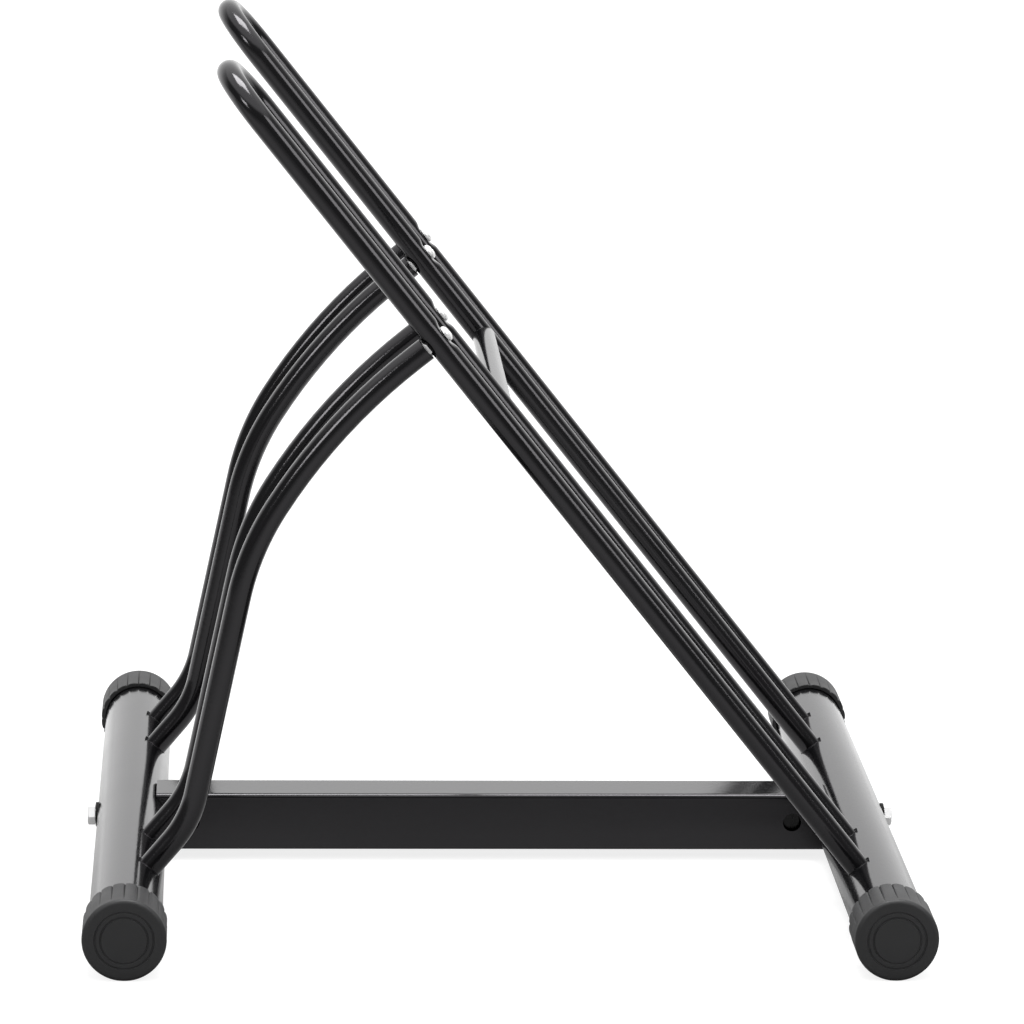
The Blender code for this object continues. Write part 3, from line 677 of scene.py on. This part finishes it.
def end_cap():
    """Cap on a tube end at the origin, its face towards -Y."""
    half_pitch = math.pi / CAP_LOBES
    lobe = [-1.0, *(-across for across in reversed(CAP_HALF_LOBE)), *CAP_HALF_LOBE]
    stations = [(lobe_number, across) for lobe_number in range(CAP_LOBES) for across in lobe]
    floor = -FIT_GAP
    face = floor - CAP_END_WALL
    rim = face + CAP_LENGTH

    def ring(y, radius=None, fade=0.0, inset=0.0):
        points = []
        for lobe_number, across in stations:
            a = half_pitch * (2 * lobe_number + 1 + across)
            r = (cap_radius(across, fade) if radius is None else radius) - inset
            z = max(r * math.cos(a), -BASE_AXIS_HEIGHT)
            points.append(Vector((r * math.sin(a), y, z)))
        return points

    rings = [
        ring(floor, CAP_BORE_RADIUS),
        ring(rim - CAP_RIM_EDGE, CAP_BORE_RADIUS),
        ring(rim, CAP_BORE_RADIUS + CAP_RIM_EDGE),
        ring(rim, None, 1.0, CAP_RIM_EDGE),
    ]
    skirt = CAP_LENGTH - CAP_EDGE_RADIUS
    for y in reversed(steps_between(face + CAP_EDGE_RADIUS, rim - CAP_RIM_EDGE, CAP_SKIRT_STEP)):
        fade = ((y - face - CAP_EDGE_RADIUS) / skirt) ** CAP_GROOVE_FADE
        rings.append(ring(y, None, fade))
    for turn in steps_between(0, math.pi / 2, CAP_EDGE_STEP)[1:]:
        radius = CAP_RADIUS - CAP_EDGE_RADIUS * (1 - math.cos(turn))
        rings.append(ring(face + CAP_EDGE_RADIUS * (1 - math.sin(turn)), radius))
    outer = CAP_RADIUS - CAP_RING_MARGIN
    inner = outer - CAP_RING_WIDTH
    half_groove = CAP_RING_GROOVE_WIDTH / 2
    half_floor = half_groove * CAP_RING_GROOVE_FLOOR_SHARE
    groove_floor = face + CAP_RING_GROOVE_DEPTH
    panel = face + CAP_RING_HEIGHT
    for middle, before, after in ((outer, face, panel), (inner, panel, face)):
        rings.append(ring(before, middle + half_groove))
        rings.append(ring(groove_floor, middle + half_floor))
        rings.append(ring(groove_floor, middle - half_floor))
        rings.append(ring(after, middle - half_groove))
    rings.append(ring(face, CAP_FACE_CENTRE_RADIUS))
    return skinned(rings)


# Wheel loops and strut

def pressed_seat(x, y, offset):
    """A point of the leg near a bolt, after its front is pressed flat for the head."""
    share = 1 - smooth_step((abs(offset) - JOINT_SEAT_HALF) / JOINT_SEAT_RUN_OUT)
    if share == 0 or x < 0:
        return x, y
    blend = min(1.0, max(0.0, 0.5 + 0.5 * (JOINT_SEAT_HEIGHT - x) / JOINT_SEAT_KNEE))
    flat = JOINT_SEAT_HEIGHT + (x - JOINT_SEAT_HEIGHT) * blend
    flat -= JOINT_SEAT_KNEE * blend * (1 - blend)
    bulge = 1 + JOINT_SEAT_BULGE * share * smooth_step(x / LOOP_RADIUS)
    return x + (flat - x) * share, y * bulge


def wheel_loop():
    """Hairpin tube in the leg frame, from one foot up, round the arch and down.

    A ring without a height of its own is coped on the base tube.
    """
    arch_height = LOOP_REACH - LOOP_HALF_SPACING
    foot_clear = BASE_RADIUS + COPE_CLEARANCE
    seat_reach = JOINT_SEAT_HALF + JOINT_SEAT_RUN_OUT + JOINT_SEAT_STEP
    heights = [
        foot_clear,
        foot_clear + LOOP_FOOT_STRAIGHT,
        JOINT_REACH - LOOP_JOINT_STRAIGHT,
        *steps_between(JOINT_REACH - seat_reach, JOINT_REACH + seat_reach, JOINT_SEAT_STEP),
        JOINT_REACH + LOOP_JOINT_STRAIGHT,
        arch_height - LOOP_ARCH_STRAIGHT,
    ]

    def leg_ring(side, height):
        ring = []
        for a in turn_angles(TUBE_SIDES):
            x = LOOP_RADIUS * math.sin(a)
            y = side * LOOP_RADIUS * math.cos(a)
            z = height
            if height is None:
                z = math.sqrt(BASE_RADIUS**2 - x * x) - WELD_SINK
            x, y = pressed_seat(x, y, z - JOINT_REACH)
            ring.append(Vector((x, y + side * LOOP_HALF_SPACING, z)))
        return ring

    rings = [leg_ring(-1, height) for height in [None, *heights]]
    for turn in steps_between(math.pi, 0, BEND_STEP):
        across = Vector((0, math.cos(turn), math.sin(turn)))
        centre = Z_AXIS * arch_height + across * LOOP_HALF_SPACING
        rings.append([
            centre + LOOP_RADIUS * (math.cos(a) * across + math.sin(a) * X_AXIS)
            for a in turn_angles(TUBE_SIDES)
        ])
    rings += [leg_ring(1, height) for height in reversed([None, *heights])]
    return skinned(rings)


def loop_strut():
    """Strut between the inner legs, coped on both, in the leg frame."""
    straight_end = INNER_LEG - LOOP_RADIUS - STRUT_COPE_CLEARANCE
    rings = []
    for side in (-1, 1):
        end, straight = [], []
        for a in turn_angles(TUBE_SIDES):
            x = STRUT_RADIUS * math.sin(a)
            z = STRUT_REACH + STRUT_RADIUS * math.cos(a)
            cope = math.sqrt(max(0.0, LOOP_RADIUS**2 - x * x)) - WELD_SINK
            end.append(Vector((x, side * (INNER_LEG - cope), z)))
            straight.append(Vector((x, side * straight_end, z)))
        rings += [end, straight] if side == -1 else [straight, end]
    return skinned(rings)


# Support tubes

def bend_shift(radius, start, end):
    """How far an arc moves a path that turns from one heading to another."""
    outward = 1 if end > start else -1
    return outward * radius * (left_of(start) - left_of(end))


def solve_riser(span):
    """Angle and length of the straight riser that carries the given bends to the leg."""

    def rest(riser):
        return (
            span
            - bend_shift(SUPPORT_ROOT_RADIUS, SUPPORT_ROOT_ANGLE, riser)
            - bend_shift(SUPPORT_SHOULDER_RADIUS, riser, SUPPORT_SHOULDER_ANGLE)
            - bend_shift(SUPPORT_TOP_RADIUS, SUPPORT_SHOULDER_ANGLE, LOOP_LEAN)
        )

    low = SUPPORT_SHOULDER_ANGLE
    high = SUPPORT_SHOULDER_ANGLE + math.pi / 2
    for _ in range(RISER_HALVINGS):
        riser = (low + high) / 2
        if rest(riser).dot(left_of(riser)) > 0:
            low = riser
        else:
            high = riser
    return riser, rest(riser).dot(heading(riser))


def support_stations():
    """Centre points of a support tube from the left base tube's axis, with their headings."""
    joint = X_AXIS * BASE_SPACING + LEG_DIRECTION * JOINT_REACH
    end = joint - LEG_FRONT * SUPPORT_END_TO_LEG_AXIS
    root_end = heading(SUPPORT_ROOT_ANGLE) * (BASE_RADIUS + SUPPORT_ROOT_STRAIGHT)
    riser, riser_length = solve_riser(end - SUPPORT_END_STRAIGHT * LEG_FRONT - root_end)
    stations = [(root_end, SUPPORT_ROOT_ANGLE)]

    def turn(radius, to_angle):
        point, start = stations[-1]
        for angle in steps_between(start, to_angle, BEND_STEP)[1:]:
            stations.append((point + bend_shift(radius, start, angle), angle))

    turn(SUPPORT_ROOT_RADIUS, riser)
    stations.append((stations[-1][0] + riser_length * heading(riser), riser))
    turn(SUPPORT_SHOULDER_RADIUS, SUPPORT_SHOULDER_ANGLE)
    turn(SUPPORT_TOP_RADIUS, LOOP_LEAN)
    return stations, end


def support_root(radius):
    """The end of a support's surface that is coped on the base tube."""
    ring = []
    for a in turn_angles(TUBE_SIDES):
        across, y = radius * math.cos(a), radius * math.sin(a)
        reach = math.sqrt(BASE_RADIUS**2 - across * across) - WELD_SINK
        foot = heading(SUPPORT_ROOT_ANGLE) * reach + left_of(SUPPORT_ROOT_ANGLE) * across
        ring.append(foot + Y_AXIS * y)
    return ring


def support_tube():
    """Hollow bent riser from the left base tube's axis, cut square at the leg."""
    stations, end = support_stations()
    clear_of_base = heading(SUPPORT_ROOT_ANGLE) * (BASE_RADIUS + COPE_CLEARANCE)
    run = [(clear_of_base, SUPPORT_ROOT_ANGLE), *stations]
    run.append((end - LEG_FRONT * SUPPORT_END_EDGE, LOOP_LEAN))
    surfaces = []
    for radius, edge in (
        (SUPPORT_RADIUS, -SUPPORT_END_EDGE),
        (SUPPORT_RADIUS - SUPPORT_WALL, SUPPORT_END_EDGE),
    ):
        rings = [support_root(radius)]
        for point, angle, reach in [
            *((point, angle, radius) for point, angle in run),
            (end, LOOP_LEAN, radius + edge),
        ]:
            rings.append([
                point + reach * (math.cos(a) * left_of(angle) + math.sin(a) * Y_AXIS)
                for a in turn_angles(TUBE_SIDES)
            ])
        surfaces.append(rings)
    outer, inner = surfaces
    return skinned(outer + inner[::-1], returning=True)


# Welds

def weld_bead(tube_radius, base_radius, seed, toes=()):
    """Hollow fillet round a tube along Z that stands on a round tube along Y at the origin.

    Each toe is the side along X, -1 or 1, where the bead ends in a small ball.
    """
    rings = []
    for a in turn_angles(WELD_STEPS):
        x, y = tube_radius * math.sin(a), tube_radius * math.cos(a)
        corner = Vector((x, y, math.sqrt(base_radius**2 - x * x)))
        tube_normal = Vector((math.sin(a), math.cos(a), 0))
        base_normal = Vector((x, 0, corner.z)) / base_radius
        up_tube = (base_normal - base_normal.dot(tube_normal) * tube_normal).normalized()
        over_base = (tube_normal - tube_normal.dot(base_normal) * base_normal).normalized()
        out = (tube_normal + base_normal).normalized()
        leg = WELD_LEG * (1 + WELD_RIPPLE_DEPTH * math.sin(a * WELD_RIPPLES))
        wander_place = (math.sin(a) * WELD_WANDER_SCALE, math.cos(a) * WELD_WANDER_SCALE, seed)
        leg *= 1 + WELD_WANDER * noise.noise(Vector(wander_place))
        bulge = -WELD_HOLLOW
        for toe in toes:
            turn = a - toe * math.pi / 2
            turn = math.atan2(math.sin(turn), math.cos(turn))
            bulge += WELD_TOE_BULGE * math.exp(-((turn / WELD_TOE_SPREAD) ** 2))
        leg *= 1 + WELD_TOE_WIDENING * max(0.0, bulge)
        high = corner + up_tube * leg - tube_normal * WELD_SINK / 2
        low = corner + over_base * leg - base_normal * WELD_SINK / 2
        peak = (high + low) / 2 + out * leg * bulge * WELD_PEAK
        ring = [corner - out * WELD_ROOT_DEPTH]
        for j in range(WELD_PROFILE_STEPS + 1):
            t = j / WELD_PROFILE_STEPS
            ring.append(high * (1 - t) ** 2 + peak * 2 * t * (1 - t) + low * t * t)
        rings.append(ring)
    return skinned(rings, returning=True)


# Joint fastenings, in the leg frame with the joint at the origin

def joint_bolt():
    """Pan head bolt along X with a hexagonal socket, its head towards +X."""
    under_head = JOINT_SEAT_HEIGHT + FIT_GAP
    rim = under_head + JOINT_BOLT_RIM_HEIGHT
    dome = JOINT_BOLT_HEAD_HEIGHT - JOINT_BOLT_RIM_HEIGHT
    tip = -SUPPORT_END_TO_LEG_AXIS - JOINT_BOLT_ENGAGEMENT
    flat = rim + dome * math.cos(JOINT_BOLT_FLAT_ANGLE)
    profile = [
        (tip, JOINT_BOLT_RADIUS - JOINT_BOLT_TIP_CHAMFER),
        (tip + JOINT_BOLT_TIP_CHAMFER, JOINT_BOLT_RADIUS),
        (under_head, JOINT_BOLT_RADIUS),
        (under_head, JOINT_BOLT_HEAD_RADIUS - JOINT_BOLT_UNDER_INSET),
        (under_head + JOINT_BOLT_UNDER_EDGE, JOINT_BOLT_HEAD_RADIUS - JOINT_BOLT_RIM_INSET),
    ]
    for turn in steps_between(math.pi / 2, JOINT_BOLT_DOME_END, JOINT_BOLT_DOME_STEP):
        profile.append((rim + dome * math.cos(turn), JOINT_BOLT_HEAD_RADIUS * math.sin(turn)))
    socket = [
        (flat, JOINT_SOCKET_APOTHEM + JOINT_SOCKET_LIP_WIDTH),
        (flat - JOINT_SOCKET_LIP_DEPTH, JOINT_SOCKET_APOTHEM),
        (flat - JOINT_SOCKET_DEPTH, JOINT_SOCKET_APOTHEM),
    ]
    rings = [circle(radius, x, PAN_HEAD_SIDES) for x, radius in profile]
    rings += [hexagon(apothem, x, PAN_HEAD_SIDES) for x, apothem in socket]
    return skinned(rings)


def joint_washer():
    """Thin round washer bent round the back of the leg."""
    hole = JOINT_BOLT_RADIUS + FIT_GAP
    rim = JOINT_WASHER_RADIUS
    edge = JOINT_FINE_EDGE

    def bent(radius, back):
        ring = []
        for a in turn_angles(RING_SIDES):
            y, z = radius * math.cos(a), radius * math.sin(a)
            ring.append(Vector((-math.sqrt(back * back - y * y), y, z)))
        return ring

    middle = (hole + rim) / 2
    between = [(hole + middle) / 2, middle, (middle + rim) / 2]
    rings = [bent(radius, WASHER_BACK_RADIUS) for radius in (hole + edge, *between, rim - edge)]
    rings.append(bent(rim, WASHER_BACK_RADIUS - edge))
    rings.append(bent(rim, LOOP_SADDLE_RADIUS + edge))
    rings += [bent(radius, LOOP_SADDLE_RADIUS) for radius in (rim - edge, *between[::-1], hole)]
    return skinned(rings, returning=True)


def insert_nut():
    """Hex insert in the support's end, hollowed to bear on the joint washer."""
    apothem = INSERT_CORNER_RADIUS * math.cos(math.pi / 6)
    inner_end = -(SUPPORT_END_TO_LEG_AXIS + INSERT_NUT_GRIP)
    edge = JOINT_FINE_EDGE

    def flats(angle, inset):
        return hexagon_radius(angle + math.pi / 6, apothem) - inset

    def bore(angle, inset):
        return JOINT_BOLT_RADIUS + FIT_GAP - inset

    def ring(radius_at, inset=0.0, x=None, lift=0.0):
        """Ring across the nut, at x or else on its hollow face."""
        points = []
        for a in turn_angles(RING_SIDES):
            radius = radius_at(a, inset)
            y, z = radius * math.cos(a), radius * math.sin(a)
            place = x if x is not None else -math.sqrt(INSERT_SADDLE_RADIUS**2 - y * y) - lift
            points.append(Vector((place, y, z)))
        return points

    rings = [
        ring(flats, edge, inner_end),
        ring(flats, 0, inner_end + edge),
        ring(flats, 0, None, edge),
        ring(flats, edge),
        ring(bore),
        ring(bore, 0, inner_end),
    ]
    return skinned(rings, returning=True)


# The rack

def build_base(side, axis, outward, shapes):
    """One base tube with its two caps and the bolt, washer and nut that hold the beam."""
    tube, cap, bolt, washer, nut = shapes
    stand = Matrix.Translation(axis)
    facing = stand @ HALF_TURN if outward == -1 else stand
    tube_end = Matrix.Translation(Y_AXIS * BASE_LENGTH / 2)
    nut_place = Matrix.Translation(axis - X_AXIS * outward * BARREL_NUT_TO_BASE_AXIS)
    piece(f"tube_{side}", tube, POWDER, (f"base_tube_{side}",), stand)
    front = stand @ tube_end.inverted()
    piece(f"cap_{side}_front", cap, PLASTIC, (f"end_cap_{side}_front",), front, CAP_CREASE)
    back = stand @ tube_end @ HALF_TURN
    piece(f"cap_{side}_back", cap, PLASTIC, (f"end_cap_{side}_back",), back, CAP_CREASE)
    bolt_nodes = (f"beam_bolt_{side}",)
    piece(f"hex_bolt_{side}", bolt, BRIGHT_ZINC, bolt_nodes, facing, HEX_BOLT_CREASE)
    piece(f"hex_washer_{side}", washer, WASHER, (f"bolt_saddle_washer_{side}",), facing)
    # The barrel nut takes the nearly black zinc, painted shade for its recess in the beam
    piece(f"cross_nut_{side}", nut, NUT_ZINC_PAINTED_SHADE, (f"barrel_nut_{side}",), nut_place)


def build_support(number, y, shapes):
    """One support tube with its joint to the leg, and the welds at their two feet."""
    support, head, leg_washer, insert = shapes
    joint = leg_frame(y, JOINT_REACH)
    root = Matrix.Translation(LEFT_AXIS + Y_AXIS * y)
    root_tilt = Matrix.Rotation(math.pi / 2 - SUPPORT_ROOT_ANGLE, 4, "Y")
    bolt_nodes = (f"loop_bolt_{number}",)
    insert_nodes = (f"insert_nut_{number}",)
    piece(f"support_{number}", support, POWDER, (f"support_tube_{number}",), root)
    piece(f"button_bolt_{number}", head, BRIGHT_ZINC, bolt_nodes, joint, PAN_HEAD_CREASE)
    piece(f"leg_washer_{number}", leg_washer, WASHER, (f"leg_saddle_washer_{number}",), joint)
    piece(f"hex_insert_{number}", insert, BRIGHT_ZINC, insert_nodes, joint, INSERT_CREASE)
    leg_weld = weld_bead(LOOP_RADIUS, BASE_RADIUS, number, (1,))
    piece(f"weld_leg_{number}", leg_weld, WELD_POWDER, (), leg_frame(y), WELD_CREASE)
    root_weld = weld_bead(SUPPORT_RADIUS, BASE_RADIUS, number + SUPPORT_WELD_SEED, (-1,))
    root_place = root @ root_tilt
    piece(f"weld_support_{number}", root_weld, WELD_POWDER, (), root_place, WELD_CREASE)


def build_rack():
    """All pieces of the rack, each shape made once and placed as often as it is needed."""
    base_shapes = (base_tube(), end_cap(), beam_bolt(), base_washer(), barrel_nut())
    for side, axis, outward in (("left", LEFT_AXIS, -1), ("right", RIGHT_AXIS, 1)):
        build_base(side, axis, outward, base_shapes)
    beam_place = Matrix.Translation(Z_AXIS * BASE_AXIS_HEIGHT)
    piece("beam", cross_beam(), POWDER, ("cross_beam",), beam_place)

    loop = wheel_loop()
    for name, outward in (("front", -1), ("back", 1)):
        place = leg_frame(outward * LOOP_PITCH / 2)
        piece(f"loop_{name}", loop, POWDER, (f"wheel_loop_{name}",), place, LOOP_CREASE)
    piece("strut", loop_strut(), POWDER, ("loop_strut",), leg_frame(0))

    leg_shapes = (support_tube(), joint_bolt(), joint_washer(), insert_nut())
    for number, y in enumerate(LEG_PLACES, start=1):
        build_support(number, y, leg_shapes)

    for name, side in (("front", -1), ("back", 1)):
        strut_root = Matrix((
            (-side, 0, 0, 0),
            (0, 0, -side, side * INNER_LEG),
            (0, 1, 0, STRUT_REACH),
            (0, 0, 0, 1),
        ))
        bead = weld_bead(STRUT_RADIUS * STRUT_WELD_FIT, LOOP_RADIUS, STRUT_WELD_SEED + side)
        place = leg_frame(0) @ strut_root
        piece(f"weld_strut_{name}", bead, WELD_POWDER, (), place, WELD_CREASE)


build_rack()


# Floor, light and camera

FLOOR_SIZE = 30.0
FLOOR_DROP = 0.0002
FLOOR_COLOUR = (0.28, 0.28, 0.28)
FLOOR_ROUGHNESS = 0.9
FLOOR_LIFT_SEEN = 0.82
# How brightly the floor glows in reflections only, behind the rack and just in front of it: a
# painted reflection
FLOOR_REFLECTION_GLOW_BEHIND = 0.8
FLOOR_REFLECTION_GLOW_FRONT = 0.25

# Ramps along one coordinate: the middle and half the width
FLOOR_GLOW_BEHIND_RAMP = (0.12, 0.32)
FLOOR_GLOW_NEAR_RAMP = (-0.45, 0.20)
FLOOR_GLOW_FRONT_RAMP = (-1.6, 0.5)
FLOOR_FAR_RAMP = (1.6, 1.0)
STUDIO_BEHIND_RAMP = (0.46, 0.26)
STUDIO_ABOVE_RAMP = (0.57, 0.09)

STUDIO_FRONT = 0.18
STUDIO_BACK = 1.32
STUDIO_ABOVE = 1.4

# Lamps: name, place, target, size and power in watts
LAMPS = (
    ("overhead", (0.0, 0.2, 3.0), (0, 0, 0.2), (1.6, 1.2), 75),
    ("strip_right", (2.67, -2.04, 2.04), (0, -0.1, 0.35), (1.5, 1.3), 26),
    ("strip_left", (-2.4, -2.45, 1.74), (0, -0.1, 0.35), (1.0, 0.6), 19),
)

CAMERA_PLACE = Vector((-0.18467, -3.75305, 1.06954))
CAMERA_YAW = -0.05226
CAMERA_PITCH = -0.21630
CAMERA_ROLL = 0.015145
CAMERA_LENS = 195.864
CAMERA_SENSOR = 36.0
CAMERA_FAR_CLIP = 100.0


def maths(tree, operation, *values):
    """Result of a Math node whose inputs are numbers or links."""
    node = tree.nodes.new("ShaderNodeMath")
    node.operation = operation
    for socket, value in zip(node.inputs, values):
        if isinstance(value, (int, float)):
            socket.default_value = value
        else:
            tree.links.new(value, socket)
    return node.outputs["Value"]


def build_floor():
    """Pale floor, lifted to white where it is seen, that keeps its shadows, and that glows in
    reflections only, brighter behind the rack and just in front of it, as a painted reflection.
    """
    half = FLOOR_SIZE / 2
    mesh = bpy.data.meshes.new("floor")
    corners = [(-half, -half), (half, -half), (half, half), (-half, half)]
    mesh.from_pydata([(x, y, -FLOOR_DROP) for x, y in corners], [], [(0, 1, 2, 3)])
    floor = bpy.data.objects.new("floor", mesh)
    bpy.context.scene.collection.objects.link(floor)
    material, tree, shader = new_material("floor_white")
    shader.inputs["Base Color"].default_value = (*FLOOR_COLOUR, 1)
    shader.inputs["Roughness"].default_value = FLOOR_ROUGHNESS
    shader.inputs["Specular IOR Level"].default_value = 0.0
    rays = tree.nodes.new("ShaderNodeLightPath")
    place = tree.nodes.new("ShaderNodeTexCoord")
    split = tree.nodes.new("ShaderNodeSeparateXYZ")
    tree.links.new(place.outputs["Object"], split.inputs["Vector"])
    depth = split.outputs["Y"]
    # Glossy rays see the floor glow by place, a painted reflection on the rack's tubes and bolts
    behind = spread(tree, depth, 0.0, FLOOR_REFLECTION_GLOW_BEHIND, *FLOOR_GLOW_BEHIND_RAMP)
    near = spread(tree, depth, 1.0, 0.0, *FLOOR_GLOW_NEAR_RAMP)
    front_reflection_glow = spread(tree, depth, 0.0, FLOOR_REFLECTION_GLOW_FRONT, *FLOOR_GLOW_FRONT_RAMP)
    front = maths(tree, "MULTIPLY", near, front_reflection_glow)
    far = spread(tree, depth, FLOOR_LIFT_SEEN, 1.0, *FLOOR_FAR_RAMP)
    seen = maths(tree, "MULTIPLY", rays.outputs["Is Camera Ray"], far)
    reflection_glow = maths(tree, "ADD", behind, front)
    painted_reflection_glow = maths(tree, "MULTIPLY", rays.outputs["Is Glossy Ray"], reflection_glow)
    lift = tree.nodes.new("ShaderNodeEmission")
    tree.links.new(maths(tree, "MAXIMUM", seen, painted_reflection_glow), lift.inputs["Strength"])
    both = tree.nodes.new("ShaderNodeAddShader")
    tree.links.new(shader.outputs["BSDF"], both.inputs[0])
    tree.links.new(lift.outputs["Emission"], both.inputs[1])
    tree.links.new(both.outputs["Shader"], tree.nodes["Material Output"].inputs["Surface"])
    mesh.materials.append(material)


def build_world():
    """White background, with a studio that is bright behind the rack and dim in front."""
    world = bpy.data.worlds.new("studio")
    bpy.context.scene.world = world
    world.use_nodes = True
    tree = world.node_tree
    background = tree.nodes["Background"]
    place = tree.nodes.new("ShaderNodeTexCoord")
    split = tree.nodes.new("ShaderNodeSeparateXYZ")
    tree.links.new(place.outputs["Generated"], split.inputs["Vector"])
    behind = spread(tree, split.outputs["Y"], STUDIO_FRONT, STUDIO_BACK, *STUDIO_BEHIND_RAMP)
    above = spread(tree, split.outputs["Z"], 0.0, STUDIO_ABOVE, *STUDIO_ABOVE_RAMP)
    rays = tree.nodes.new("ShaderNodeLightPath")
    light = maths(tree, "MAXIMUM", behind, above)
    seen = maths(tree, "MAXIMUM", light, rays.outputs["Is Camera Ray"])
    tree.links.new(seen, background.inputs["Strength"])
    background.inputs["Color"].default_value = (1, 1, 1, 1)


def build_lamp(name, place, target, size, power):
    """Rectangular soft light that faces its target."""
    lamp = bpy.data.lights.new(name, "AREA")
    lamp.shape = "RECTANGLE"
    lamp.size, lamp.size_y = size
    lamp.energy = power
    body = bpy.data.objects.new(name, lamp)
    body.location = place
    aim = Vector(target) - Vector(place)
    body.rotation_euler = aim.to_track_quat("-Z", "Y").to_euler()
    bpy.context.scene.collection.objects.link(body)


def build_camera():
    """The camera, from its yaw, pitch and roll about a level view along Y."""
    right = Vector((math.cos(CAMERA_YAW), math.sin(CAMERA_YAW), 0))
    level = Vector((-math.sin(CAMERA_YAW), math.cos(CAMERA_YAW), 0))
    forward = level * math.cos(CAMERA_PITCH) + Z_AXIS * math.sin(CAMERA_PITCH)
    up = right.cross(forward)
    turned_right = math.cos(CAMERA_ROLL) * right + math.sin(CAMERA_ROLL) * up
    turned_up = math.cos(CAMERA_ROLL) * up - math.sin(CAMERA_ROLL) * right
    pose = Matrix((turned_right, turned_up, -forward)).transposed().to_4x4()
    data = bpy.data.cameras.new("photo_camera")
    data.sensor_width = CAMERA_SENSOR
    data.lens = CAMERA_LENS
    data.clip_end = CAMERA_FAR_CLIP
    camera = bpy.data.objects.new("photo_camera", data)
    camera.matrix_world = Matrix.Translation(CAMERA_PLACE) @ pose
    bpy.context.scene.collection.objects.link(camera)
    bpy.context.scene.camera = camera


build_floor()
build_world()
for lamp_facts in LAMPS:
    build_lamp(*lamp_facts)
build_camera()
bpy.context.scene.view_settings.view_transform = "Standard"
